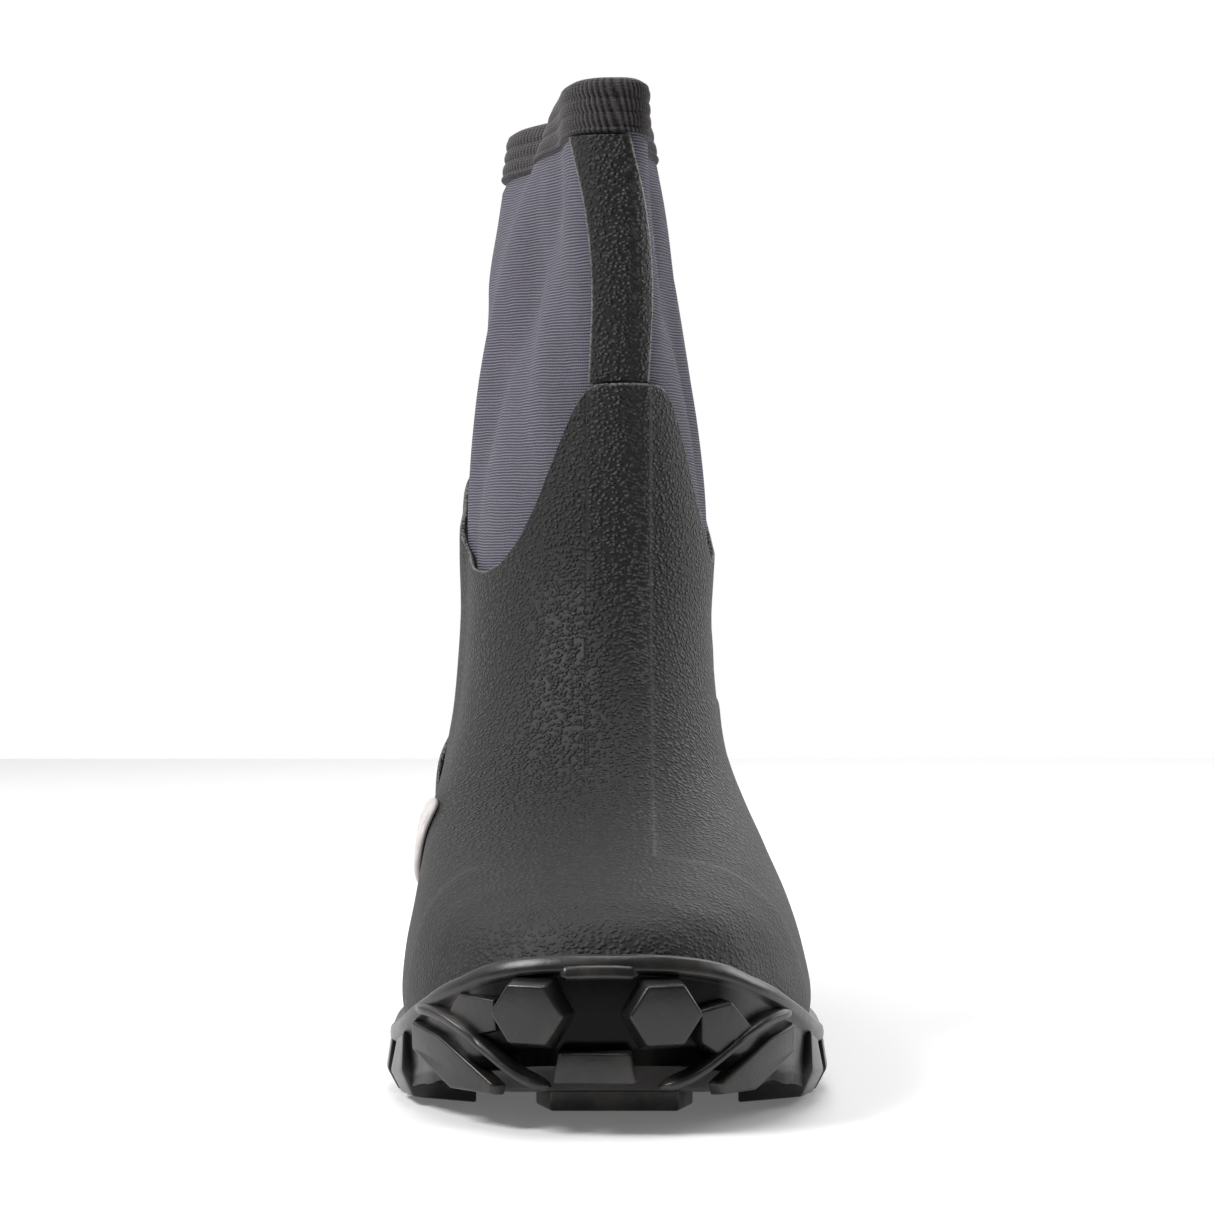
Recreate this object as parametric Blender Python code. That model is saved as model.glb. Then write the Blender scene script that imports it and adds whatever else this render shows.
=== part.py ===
"""Insulated rubber boot, mid height, for the right foot.

A foam-rubber (neoprene) bootie and shaft stands in a lugged rubber outsole. A rubber cover goes round the foot and
up the shin, a narrow strip runs on to the collar, and a ribbed knit binding closes the top edge.

Metres, +Z up. The toe points to -Y, the inner side of the foot is +X and the outer side is -X. The origin is on the
floor, in the middle of the heel's centre lug.
"""

import functools
import math

import bmesh
import bpy
from mathutils import Vector

# Driving sizes
SOLE_LENGTH = 0.315  # outsole, heel to toe
BALL_WIDTH = 0.118  # outsole over the ball of the foot
SOLE_HEIGHT = 0.026  # floor to the inside of the heel seat
ANKLE_HEIGHT = 0.120  # floor to where the foot turns into the shaft
BOOT_HEIGHT = 0.281  # floor to the top of the binding
SHAFT_DEPTH = 0.134  # front to back at the ankle
SHAFT_WIDTH = 0.074  # side to side at the ankle
HEEL_CENTRE = 0.052  # heel end of the sole to the origin

# Layers, from the inside out
CLEARANCE = 0.0003  # between pieces that touch
NEOPRENE = 0.005
RUBBER = 0.0022  # the cover's wall
STEP = 0.0007  # a second layer of rubber that shows through the cover
COUNTER = 0.0015
STRIP = 0.0014
BADGE = 0.0026
RIM = 0.0028  # the sole's wall round the foot, at its top edge
INSOLE = 0.005

# Widths and heights of single pieces
STRIP_WIDTH = 0.0165
BAND_WIDTH = 0.0190
BINDING_HEIGHT = 0.0145
BINDING = 0.0014  # the knit's thickness on each face of the collar
BINDING_ROLL = 0.0008  # how far each of its rolls stands out
LUG_DEPTH = 0.005
LUG_GAP = 0.0045
TOE_LUG = 0.0170  # across the flats of the two six-sided toe lugs
TOE_LUG_HEIGHT = 0.0038
SIDE_RIB = 0.0015  # how far the side lugs stand out of the sole's wall
LUG_ROOT = 0.0020  # how deep the lugs start in the wall
LUG_BEVEL = 0.0015  # the slope between a lug's lower face and its side
UNDERCUT = 0.0035  # how far the wall goes in behind the lugs at its lower edge
RIM_BAND = 0.0040  # height of the thicker band along the wall's top edge
RECESS = 0.0010  # how far the wall lies back under that band
ROUNDING = 0.014  # over this distance the sole's underside rises to its lower edge

COVER_INSIDE = CLEARANCE
COVER_OUTSIDE = COVER_INSIDE + RUBBER
BADGE_LENGTH = 0.036
BADGE_HEIGHT = 0.024

# Sampling
COLUMNS = 32
SPECK = 0.00002  # corners closer than this are one corner
TURNS = [2 * math.pi * i / COLUMNS for i in range(COLUMNS)]

# Cross-sections of the bootie from the sole upwards, each a closed line from the heel (or the back of the shaft)
# to the toe (or the shin). Lengths are shares of SOLE_LENGTH, heights of ANKLE_HEIGHT and widths of BALL_WIDTH.
SECTION_COLUMNS = (
    "front", "front_up", "back", "back_up", "front_x", "back_x",
    "heel_in", "heel_out", "waist_in", "waist_out", "ball_in", "ball_out",
    "heel_at", "ball_at", "nose",
)  # fmt: skip
FOOT_SECTIONS = (
    (0.960, 0.167, 0.023, 0.216, 0.008, 0.000, 0.29, 0.29, 0.31, 0.33, 0.430, 0.425, 0.14, 0.70, 2.2),
    (0.970, 0.258, 0.015, 0.320, 0.008, 0.000, 0.32, 0.32, 0.34, 0.36, 0.452, 0.448, 0.14, 0.70, 2.2),
    (0.960, 0.340, 0.014, 0.420, 0.008, 0.000, 0.33, 0.33, 0.355, 0.375, 0.436, 0.443, 0.14, 0.70, 2.2),
    (0.936, 0.415, 0.019, 0.517, 0.010, 0.000, 0.325, 0.335, 0.345, 0.385, 0.403, 0.426, 0.15, 0.70, 2.3),
    (0.880, 0.473, 0.028, 0.617, 0.012, 0.000, 0.310, 0.335, 0.320, 0.390, 0.360, 0.415, 0.17, 0.67, 2.4),
    (0.795, 0.519, 0.041, 0.717, 0.014, -0.005, 0.290, 0.335, 0.290, 0.395, 0.322, 0.405, 0.19, 0.64, 2.6),
    (0.710, 0.578, 0.056, 0.817, 0.017, -0.015, 0.280, 0.330, 0.277, 0.380, 0.292, 0.375, 0.23, 0.62, 2.5),
    (0.640, 0.664, 0.069, 0.917, 0.019, -0.028, 0.284, 0.325, 0.277, 0.360, 0.272, 0.350, 0.29, 0.60, 2.3),
    (0.577, 0.812, 0.079, 1.017, 0.020, -0.040, 0.286, 0.322, 0.272, 0.345, 0.262, 0.330, 0.34, 0.60, 2.1),
    (0.532, 0.988, 0.086, 1.117, 0.021, -0.050, 0.280, 0.318, 0.272, 0.335, 0.259, 0.320, 0.38, 0.60, 2.0),
)  # fmt: skip
# Shaft sections. Lengths are shares of SHAFT_DEPTH from the back of the ankle, heights of the shaft above
# ANKLE_HEIGHT and widths of SHAFT_WIDTH. The top ones are squeezed flat, with a narrow nose at the shin.
SHAFT_BACK = 0.086 * SOLE_LENGTH
SHAFT_SECTIONS = (
    (0.985, 0.130, 0.000, 0.175, 0.036, -0.100, 0.455, 0.515, 0.460, 0.532, 0.430, 0.500, 0.38, 0.60, 2.0),
    (0.975, 0.285, -0.005, 0.290, 0.042, -0.108, 0.440, 0.500, 0.450, 0.525, 0.395, 0.470, 0.37, 0.61, 2.0),
    (0.985, 0.460, -0.022, 0.460, 0.057, -0.108, 0.400, 0.480, 0.393, 0.500, 0.310, 0.390, 0.36, 0.64, 2.0),
    (1.000, 0.645, -0.052, 0.645, 0.072, -0.108, 0.340, 0.440, 0.325, 0.440, 0.205, 0.290, 0.32, 0.70, 2.3),
    (1.010, 0.815, -0.082, 0.810, 0.058, -0.110, 0.285, 0.385, 0.275, 0.350, 0.155, 0.215, 0.26, 0.78, 2.7),
    (1.012, 1.000, -0.105, 0.975, 0.054, -0.128, 0.250, 0.310, 0.210, 0.190, 0.140, 0.190, 0.18, 0.82, 2.9),
)  # fmt: skip

# Hollows pressed into the slack shaft. side is +1 inner and -1 outer, along is from the back (0) to the shin (1),
# up is the share of BOOT_HEIGHT, and depth is a share of SHAFT_WIDTH.
FOLD_COLUMNS = ("side", "along", "up", "depth", "reach_along", "reach_up")
FOLDS = (
    (-1, 0.42, 1.00, 0.060, 0.11, 0.16),
    (-1, 0.76, 0.80, 0.035, 0.12, 0.14),
    (1, 0.74, 0.84, 0.020, 0.12, 0.16),
)

# The sole's lines, from heel to toe: at is the share of SOLE_LENGTH, the heights are shares of SOLE_HEIGHT.
# tread is the lugs' lower face, seat is where the foot stands and rim is the top edge of the sole's wall.
SOLE_COLUMNS = ("at", "tread", "edge", "seat", "rim")
SOLE_LINES = (
    (0.000, 0.12, 0.16, 1.00, 1.42),
    (0.060, 0.00, 0.03, 1.00, 1.38),
    (0.160, 0.00, 0.02, 0.98, 1.28),
    (0.290, 0.00, 0.02, 0.92, 1.16),
    (0.330, 0.26, 0.26, 0.85, 1.10),
    (0.450, 0.28, 0.28, 0.66, 0.95),
    (0.550, 0.18, 0.18, 0.54, 0.80),
    (0.600, 0.00, 0.02, 0.47, 0.69),
    (0.700, 0.00, 0.02, 0.44, 0.63),
    (0.760, 0.00, 0.03, 0.45, 0.68),
    (0.825, 0.00, 0.08, 0.50, 0.86),
    (0.875, 0.03, 0.18, 0.60, 1.10),
    (0.920, 0.12, 0.31, 0.72, 1.37),
    (0.955, 0.27, 0.42, 0.84, 1.60),
    (0.980, 0.38, 0.50, 0.92, 1.76),
    (1.000, 0.46, 0.56, 0.96, 1.78),
)
FOREFOOT_FLAT = (0.610, 0.860)  # the part of the forefoot that rests on the floor

# The cover's top edge, the same on both sides: degrees round the shaft from the shin ridge, share of BOOT_HEIGHT.
COVER_EDGE = (
    (0.0, 0.687), (9.0, 0.686), (13.0, 0.676), (16.0, 0.650), (19.0, 0.608), (23.0, 0.562),
    (29.0, 0.524), (36.0, 0.502), (46.0, 0.492), (62.0, 0.496), (90.0, 0.520), (118.0, 0.560),
    (140.0, 0.600), (154.0, 0.628), (163.0, 0.640), (180.0, 0.642),
)  # fmt: skip
RIDGE_TURN = math.radians(8)  # the shin ridge lies this far to the inner side of the shaft's middle

# The counter's edge from the side, from the sole's edge at its front over the top to the heel:
# share of SOLE_LENGTH from the heel, share of ANKLE_HEIGHT.
COUNTER_EDGE = ((0.620, 0.10), (0.560, 0.34), (0.480, 0.53), (0.390, 0.69), (0.280, 0.80), (0.140, 0.86), (-0.10, 0.87))
TOE_CAP_EDGE = ((0.79, 1.00), (0.80, 0.45), (0.79, 0.30), (0.76, 0.00))
BADGE_PLACE = (0.562, 0.515)


# The middle of the shin strip, seen from the front: share of BOOT_HEIGHT, then x as a share of SHAFT_WIDTH.
STRIP_LINE = ((0.60, 0.057), (0.69, 0.057), (0.77, 0.072), (0.82, 0.066), (0.875, 0.041), (0.932, -0.006), (1.0, -0.05))

# Lugs round the sole's edge, the same on both sides: shares of the way round from the heel to the toe where each one
# starts and stops, how far it reaches in under the sole (share of BALL_WIDTH), and how high up the wall.
EDGE_LUG_COLUMNS = ("start", "stop", "inward", "up")
EDGE_LUGS = (
    (0.030, 0.078, 0.10, 0.72), (0.098, 0.146, 0.13, 0.74), (0.166, 0.214, 0.14, 0.72), (0.234, 0.288, 0.17, 0.74),
    (0.350, 0.400, 0.05, 0.66), (0.430, 0.480, 0.05, 0.66),
    (0.548, 0.594, 0.20, 0.84), (0.614, 0.660, 0.16, 0.82), (0.680, 0.726, 0.20, 0.84), (0.746, 0.792, 0.16, 0.80),
    (0.812, 0.856, 0.18, 0.74), (0.874, 0.912, 0.15, 0.66),
)  # fmt: skip


# The block under the toe: corners as x (share of BALL_WIDTH) and the distance from the heel (share of SOLE_LENGTH).
TOE_BLOCK = ((-0.15, 0.826), (0.20, 0.826), (0.165, 0.884), (-0.115, 0.884))
# The block on the front of the toe, under the six-sided lugs: corners as shares of TOE_LUG from x = 0 and from the
# middle of those lugs.
TOE_STEP = ((-0.62, -0.56), (0.38, -0.56), (0.46, -1.00), (-0.70, -1.00))


def named_rows(columns, rows):
    return [dict(zip(columns, row)) for row in rows]


def scaled_sections():
    """All the sections in metres, from the sole to the collar."""
    found = []
    for row in named_rows(SECTION_COLUMNS, FOOT_SECTIONS):
        for name in row:
            if name in ("front", "back"):
                row[name] *= SOLE_LENGTH
            elif name in ("front_up", "back_up"):
                row[name] *= ANKLE_HEIGHT
            elif name not in ("heel_at", "ball_at", "nose"):
                row[name] *= BALL_WIDTH
        found.append(row)
    shaft = BOOT_HEIGHT - BINDING - CLEARANCE - ANKLE_HEIGHT
    for row in named_rows(SECTION_COLUMNS, SHAFT_SECTIONS):
        for name in row:
            if name in ("front", "back"):
                row[name] = SHAFT_BACK + row[name] * SHAFT_DEPTH
            elif name in ("front_up", "back_up"):
                row[name] = ANKLE_HEIGHT + row[name] * shaft
            elif name not in ("heel_at", "ball_at", "nose"):
                row[name] *= SHAFT_WIDTH
        found.append(row)
    return found


SECTIONS = scaled_sections()
TOP_LEVEL = len(SECTIONS) - 1
ANKLE_LEVEL = len(FOOT_SECTIONS) - 1
FOLD_ROWS = named_rows(FOLD_COLUMNS, FOLDS)
SOLE_ROWS = named_rows(SOLE_COLUMNS, SOLE_LINES)


def blend(a, b, t):
    return a + (b - a) * t


def ease(t):
    t = min(1.0, max(0.0, t))
    return t * t * (3 - 2 * t)


def through(values, at):
    """A smooth line through evenly spaced values, read at a real-valued index."""
    last = len(values) - 1
    i = min(last - 1, max(0, int(at)))
    t = at - i
    before, a, b, after = (values[min(last, max(0, i + k))] for k in (-1, 0, 1, 2))
    rise_a, rise_b = (b - before) / 2, (after - a) / 2
    square, cube = t * t, t * t * t
    return (
        a * (2 * cube - 3 * square + 1)
        + rise_a * (cube - 2 * square + t)
        + b * (3 * square - 2 * cube)
        + rise_b * (cube - square)
    )


def between(rows, at, column):
    """The value of a column at one place along rows that start with their own place."""
    for first, second in zip(rows, rows[1:]):
        if at <= second["at"]:
            return blend(first[column], second[column], ease((at - first["at"]) / (second["at"] - first["at"])))
    return rows[-1][column]


def sole_line(along, column):
    """Height of the tread, seat or rim at a distance along the sole from its heel end."""
    return between(SOLE_ROWS, along / SOLE_LENGTH, column) * SOLE_HEIGHT


def half_width(row, along, side):
    """Half width of a section at a share of its length, on its inner (+1) or outer (-1) side."""
    end = "in" if side > 0 else "out"
    heel, waist, ball = (row[f"{part}_{end}"] for part in ("heel", "waist", "ball"))
    heel_at, ball_at = row["heel_at"], row["ball_at"]
    middle = (heel_at + ball_at) / 2
    if along <= heel_at:
        return heel * math.sqrt(max(0.0, 1 - (1 - along / heel_at) ** 2))
    if along >= ball_at:
        reach = (along - ball_at) / (1 - ball_at)
        return ball * max(0.0, 1 - reach ** row["nose"]) ** (1 / row["nose"])
    if along < middle:
        return blend(heel, waist, ease((along - heel_at) / (middle - heel_at)))
    return blend(waist, ball, ease((along - middle) / (ball_at - middle)))


def fold_depth(along, height, side):
    """How far the slack shaft is pressed in at one place."""
    depth = 0.0
    for fold in FOLD_ROWS:
        if fold["side"] == side:
            a = (along - fold["along"]) / fold["reach_along"]
            b = (height / BOOT_HEIGHT - fold["up"]) / fold["reach_up"]
            depth += fold["depth"] * math.exp(-a * a - b * b)
    return depth * SHAFT_WIDTH


def skin(level, turn):
    """A point of the bootie's outer face. turn goes from the heel (0) over the inner side to the toe (pi) and back."""
    row = {name: through([s[name] for s in SECTIONS], level) for name in SECTION_COLUMNS}
    along = (1 - math.cos(turn)) / 2
    side = 1 if turn % (2 * math.pi) < math.pi else -1
    length = blend(row["back"], row["front"], along)
    height = blend(row["back_up"], row["front_up"], along)
    first = SECTIONS[0]
    flat = blend(first["back_up"], first["front_up"], along)
    seat = sole_line(length, "seat") + CLEARANCE
    height += (seat - flat) * (1 - ease(level / 6))
    half = half_width(row, along, side)
    half -= fold_depth(along, height, side) * min(1.0, half / (0.1 * SHAFT_WIDTH))
    middle = blend(row["back_x"], row["front_x"], along)
    return Vector((middle + side * half, HEEL_CENTRE - length, height))


def outward(level, turn):
    """The direction square to the bootie's face, pointing out of the boot."""
    small_turn, small_level = 0.02, 0.02
    low, high = max(0.0, level - small_level), min(TOP_LEVEL, level + small_level)
    round_it = skin(level, turn + small_turn) - skin(level, turn - small_turn)
    up_it = skin(high, turn) - skin(low, turn)
    return up_it.cross(round_it).normalized()


def layer(level, turn, offset):
    """A point at a distance outside (or, if negative, inside) the bootie's outer face."""
    point = skin(level, turn) + outward(level, turn) * offset
    point.z = max(point.z, sole_line(HEEL_CENTRE - point.y, "seat") + CLEARANCE)
    return point


@functools.lru_cache(maxsize=None)
def level_at(turn, height, offset=0.0):
    """The level at which a column of the bootie, or of a layer round it, reaches a height."""
    low, high = 0.0, float(TOP_LEVEL)
    for _ in range(20):
        middle = (low + high) / 2
        point = layer(middle, turn, offset) if offset else skin(middle, turn)
        if point.z < height:
            low = middle
        else:
            high = middle
    return low


def material(name, colour, roughness):
    made = bpy.data.materials.new(name)
    made.use_nodes = True
    shader = made.node_tree.nodes["Principled BSDF"]
    shader.inputs["Base Color"].default_value = (*colour, 1)
    shader.inputs["Roughness"].default_value = roughness
    shader.inputs["Metallic"].default_value = 0.0
    return made


def add_object(name, bm, finish=None):
    """An object in the scene from a bmesh. One with no finish is a cutter, which doesn't show."""
    bmesh.ops.recalc_face_normals(bm, faces=bm.faces)
    bmesh.ops.triangulate(bm, faces=bm.faces, quad_method="FIXED")
    mesh = bpy.data.meshes.new(name)
    bm.to_mesh(mesh)
    bm.free()
    made = bpy.data.objects.new(name, mesh)
    bpy.context.scene.collection.objects.link(made)
    if finish:
        mesh.materials.append(finish)
        mesh.shade_smooth()
        mesh.set_sharp_from_angle(angle=math.radians(35))
    else:
        made.hide_render = True
        made.display_type = "WIRE"
    return made


def combine(target, other, operation):
    """Cuts, joins or crosses the target with another object, which is then removed."""
    modifier = target.modifiers.new(operation.lower(), "BOOLEAN")
    modifier.operation = operation
    modifier.solver = "EXACT"
    modifier.use_self = operation == "UNION"
    modifier.object = other
    graph = bpy.context.evaluated_depsgraph_get()
    cut = bpy.data.meshes.new_from_object(target.evaluated_get(graph))
    bm = bmesh.new()
    bm.from_mesh(cut)
    bmesh.ops.remove_doubles(bm, verts=bm.verts, dist=SPECK)
    bm.to_mesh(cut)
    bm.free()
    target.modifiers.clear()
    old = target.data
    target.data = cut
    bpy.data.meshes.remove(old)
    bpy.data.objects.remove(other)
    return target


def add_ring(bm, points):
    return [bm.verts.new(point) for point in points]


def skin_rings(bm, rings, closed=False):
    """Faces between neighbouring rings, and from the last to the first if closed.

    Each starts at its lower ring, so that neighbouring layers are split along the same diagonals and don't cross.
    """
    pairs = list(zip(rings, rings[1:]))
    if closed:
        pairs.append((rings[-1], rings[0]))
    for pair in pairs:
        low, high = sorted(pair, key=lambda ring: sum(vert.co.z for vert in ring))
        for i in range(len(low)):
            k = (i + 1) % len(low)
            bm.faces.new((low[i], low[k], high[k], high[i]))


def ladder(bm, ring):
    """Closes a ring whose columns lie opposite each other with strips across it."""
    count = len(ring)
    for i in range(count // 2):
        corners = (ring[i], ring[i + 1], ring[(count - i - 1) % count], ring[(count - i) % count])
        bm.faces.new(list(dict.fromkeys(corners)))


def shell(name, inside, outside, levels, finish=None):
    """The wall between two offsets of the bootie's face, open at both ends."""
    bm = bmesh.new()
    rings = [add_ring(bm, [layer(level, turn, outside) for turn in TURNS]) for level in levels]
    rings += [add_ring(bm, [layer(level, turn, inside) for turn in TURNS]) for level in reversed(levels)]
    skin_rings(bm, rings, closed=True)
    return add_object(name, bm, finish)


def prism(name, outline, axis, start, stop):
    """A cutter with an outline of (across, up) pairs, pushed along Y seen from the front or X seen from the side."""
    bm = bmesh.new()
    near, far = [], []
    for across, up in outline:
        for found, depth in ((near, start), (far, stop)):
            point = (across, depth, up) if axis == "Y" else (depth, across, up)
            found.append(bm.verts.new(point))
    skin_rings(bm, [near, far])
    bm.faces.new(near)
    bm.faces.new(far)
    return add_object(name, bm)


def steps(start, stop, size):
    count = round((stop - start) / size)
    return [start + (stop - start) * i / count for i in range(count + 1)]


FOOT_LEVELS = steps(0, 6, 0.5) + steps(7, ANKLE_LEVEL, 1)
BOOTIE_LEVELS = FOOT_LEVELS + steps(ANKLE_LEVEL + 1, TOP_LEVEL - 1, 1)
COVER_LEVELS = [level for level in BOOTIE_LEVELS if level <= ANKLE_LEVEL + 4]


def collar_point(turn, drop, offset, lift=0.0):
    """A point of the collar, at a distance below its edge and an offset from the bootie's face."""
    height = skin(TOP_LEVEL, turn).z - drop
    point = layer(level_at(turn, height), turn, offset)
    point.z = height + lift
    return point


def build_upper(finish):
    """The bootie and shaft in one: hollow, open at the collar, and squeezed thinner under the binding."""
    bm = bmesh.new()
    rings = [add_ring(bm, [layer(level, turn, 0.0) for turn in TURNS]) for level in BOOTIE_LEVELS]
    edge, inner = BINDING_HEIGHT + CLEARANCE, -NEOPRENE
    for drop, offset in ((edge + BINDING / 2, 0), (edge, -BINDING), (0, -BINDING), (0, inner), (edge, inner)):
        rings.append(add_ring(bm, [collar_point(turn, drop, offset) for turn in TURNS]))
    for level in reversed(steps(0, TOP_LEVEL - 1, 1)):
        rings.append(add_ring(bm, [layer(level, turn, -NEOPRENE) for turn in TURNS]))
    skin_rings(bm, rings, closed=True)
    return add_object("upper", bm, finish)


def cover_edge(turn_from_ridge):
    """Height of the cover's top edge at an angle round the shaft from the shin ridge."""
    degrees = abs(math.degrees(turn_from_ridge))
    for (low, low_up), (high, high_up) in zip(COVER_EDGE, COVER_EDGE[1:]):
        if degrees <= high:
            return blend(low_up, high_up, (degrees - low) / (high - low)) * BOOT_HEIGHT
    return COVER_EDGE[-1][1] * BOOT_HEIGHT


def shaft_middle():
    row = SECTIONS[ANKLE_LEVEL + 2]
    return (row["front_x"] + row["back_x"]) / 2, HEEL_CENTRE - (row["front"] + row["back"]) / 2


def turn_at_bearing(degrees):
    """The turn at which the shaft lies at an angle from the shin ridge, seen from its middle."""
    middle_x, middle_y = shaft_middle()
    low, high = (0.0, math.pi) if degrees >= 0 else (2 * math.pi, math.pi)
    for _ in range(24):
        turn = (low + high) / 2
        point = skin(ANKLE_LEVEL + 2, turn)
        bearing = math.atan2(point.x - middle_x, middle_y - point.y) - RIDGE_TURN
        bearing = (bearing + math.pi) % (2 * math.pi) - math.pi
        if abs(math.degrees(bearing)) > abs(degrees):
            low = turn
        else:
            high = turn
    return (low + high) / 2


def crown():
    """A cutter that takes away what lies above the cover's top edge."""
    middle_x, middle_y = shaft_middle()
    stops = [edge[0] for edge in COVER_EDGE]
    stops = sorted(stops + [(a + b) / 2 for a, b in zip(stops, stops[1:])])
    bearings = stops[:-1] + [-180.0] + [-stop for stop in reversed(stops[1:-1])]
    bm = bmesh.new()
    rings = []
    for scale, high in ((0.35, False), (1.0, False), (1.4, False), (1.4, True), (0.35, True)):
        points = []
        for bearing in bearings:
            height = cover_edge(math.radians(bearing))
            turn = turn_at_bearing(bearing)
            point = layer(level_at(turn, height), turn, (COVER_INSIDE + COVER_OUTSIDE) / 2)
            x = middle_x + (point.x - middle_x) * scale
            y = middle_y + (point.y - middle_y) * scale
            points.append((x, y, 1.2 * BOOT_HEIGHT if high else height))
        rings.append(add_ring(bm, points))
    skin_rings(bm, rings, closed=True)
    return add_object("crown", bm)


def band_prism(name, width, bottom, top, back):
    """A cutter that keeps a band of one width along the middle of the shin, between two heights."""
    line = []
    for i in range(13):
        z = blend(bottom, top, i / 12)
        up = z / BOOT_HEIGHT
        x = STRIP_LINE[0][1]
        for (low, low_x), (high, high_x) in zip(STRIP_LINE, STRIP_LINE[1:]):
            if low <= up:
                x = blend(low_x, high_x, min(1.0, (up - low) / (high - low)))
        line.append((x * SHAFT_WIDTH, z))
    left = [(x - width / 2, z) for x, z in line]
    right = [(x + width / 2, z) for x, z in reversed(line)]
    return prism(name, left + right, "Y", -SOLE_LENGTH, back)


def side_outline(edge):
    return [(HEEL_CENTRE - along * SOLE_LENGTH, up * ANKLE_HEIGHT) for along, up in edge]


def build_cover(finish):
    """The rubber cover, with a second layer showing through it at the toe and as a band up the shin."""
    cover = shell("rubber_cover", COVER_INSIDE, COVER_OUTSIDE, COVER_LEVELS, finish)
    middle = (COVER_INSIDE + COVER_OUTSIDE) / 2
    toe_cap = shell("toe_cap", middle, COVER_OUTSIDE + STEP, [0.3] + steps(1, 6, 0.5))
    front = (-2 * SOLE_LENGTH, 0.0), (-2 * SOLE_LENGTH, ANKLE_HEIGHT)
    outline = [*side_outline(TOE_CAP_EDGE), *front]
    combine(toe_cap, prism("toe_cap_outline", outline, "X", -BALL_WIDTH, BALL_WIDTH), "INTERSECT")
    combine(cover, toe_cap, "UNION")
    band_levels = [level for level in COVER_LEVELS if 3 <= level < COVER_LEVELS[-1]] + [COVER_LEVELS[-1] - 0.5]
    band = shell("shin_band", middle, COVER_OUTSIDE + STEP * 0.7, band_levels)
    bottom = TOE_CAP_EDGE[1][1] * ANKLE_HEIGHT
    back = HEEL_CENTRE - SHAFT_BACK - SHAFT_DEPTH / 2
    combine(band, band_prism("band_outline", BAND_WIDTH, bottom, BOOT_HEIGHT, back), "INTERSECT")
    combine(cover, band, "UNION")
    return combine(cover, crown(), "DIFFERENCE")


def build_strip(finish):
    """The narrow strip on the shin, from the cover's top edge to the binding."""
    levels = [level for level in BOOTIE_LEVELS if level >= ANKLE_LEVEL] + [TOP_LEVEL]
    strip = shell("shin_strip", CLEARANCE, CLEARANCE + STRIP, levels, finish)
    bottom = cover_edge(0) + CLEARANCE
    top = BOOT_HEIGHT - BINDING - BINDING_HEIGHT - 3 * CLEARANCE
    back = HEEL_CENTRE - SHAFT_BACK - 0.86 * SHAFT_DEPTH
    return combine(strip, band_prism("strip_outline", STRIP_WIDTH, bottom, top, back), "INTERSECT")


def build_counter(finish):
    """The heel counter, outside the cover and down to the sole's rim."""
    inside = COVER_OUTSIDE + CLEARANCE
    counter = shell("heel_counter", inside, inside + COUNTER, FOOT_LEVELS, finish)
    top = side_outline(COUNTER_EDGE)
    stations = [top[0][0] + (top[-1][0] - top[0][0]) * i / 12 for i in range(13)]
    rim = [(y, sole_line(max(0.0, HEEL_CENTRE - y), "rim") + 3 * CLEARANCE) for y in stations]
    outline = top[1:] + rim[::-1]
    return combine(counter, prism("counter_outline", outline, "X", -BALL_WIDTH, BALL_WIDTH), "INTERSECT")


def build_badge(finish):
    """A plain domed pad on the outer side of the foot, in front of the counter."""
    inside = COVER_OUTSIDE + 2 * CLEARANCE
    middle_y, middle_z = side_outline([BADGE_PLACE])[0]
    bm = bmesh.new()
    rings = []
    base = [(size, inside) for size in (0.25, 0.5, 0.75, 1.0)]
    for size, offset in (*base, (1.0, inside + BADGE / 2), (0.86, inside + BADGE * 0.85)):
        points = []
        for i in range(20):
            angle = 2 * math.pi * i / 20
            length = HEEL_CENTRE - middle_y + size * BADGE_LENGTH / 2 * math.cos(angle)
            points.append(side_point(length, middle_z + size * BADGE_HEIGHT / 2 * math.sin(angle), -1, offset))
        rings.append(add_ring(bm, points))
    skin_rings(bm, rings)
    for ring, offset in ((rings[0], inside), (rings[-1], inside + BADGE)):
        middle = bm.verts.new(side_point(HEEL_CENTRE - middle_y, middle_z, -1, offset))
        for i in range(20):
            bm.faces.new((ring[i], ring[(i + 1) % 20], middle))
    return add_object("side_badge", bm, finish)


def side_point(length, height, side, offset):
    """A point off the side of the foot, at a distance from the heel and a height."""
    low, high = (0.0, math.pi) if side > 0 else (2 * math.pi, math.pi)
    for _ in range(20):
        turn = (low + high) / 2
        if HEEL_CENTRE - layer(level_at(turn, height), turn, offset).y < length:
            low = turn
        else:
            high = turn
    turn = (low + high) / 2
    return layer(level_at(turn, height), turn, offset)


def build_binding(finish):
    """The ribbed knit binding, folded over the collar: a thin edge and three soft rolls, and a plain face inside."""
    rolls = (0.0, 0.14, 0.43, 0.72, 1.0)
    profile = [(-BINDING + CLEARANCE, 1.0)]
    for low, high in zip(rolls, rolls[1:]):
        profile += [(0.0, 1.0 - low), (BINDING_ROLL, 1.0 - (low + high) / 2)]
    inner = -NEOPRENE - CLEARANCE
    over = BINDING / BINDING_HEIGHT
    profile += [(-BINDING / 2, -over / 2), (inner / 2, -over), (inner - BINDING / 2, -over / 2)]
    profile += [(inner - BINDING, 1.0), (inner, 1.0), (inner, 0.0), (-BINDING + CLEARANCE, 0.0)]
    bm = bmesh.new()
    rings = []
    for offset, drop in profile:
        down, lift = max(0.0, drop) * BINDING_HEIGHT, max(0.0, -drop) * BINDING_HEIGHT
        lift += CLEARANCE if drop <= 0 else 0.0
        rings.append(add_ring(bm, [collar_point(turn, down, offset, lift) for turn in TURNS]))
    skin_rings(bm, rings, closed=True)
    return add_object("collar_binding", bm, finish)


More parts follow.
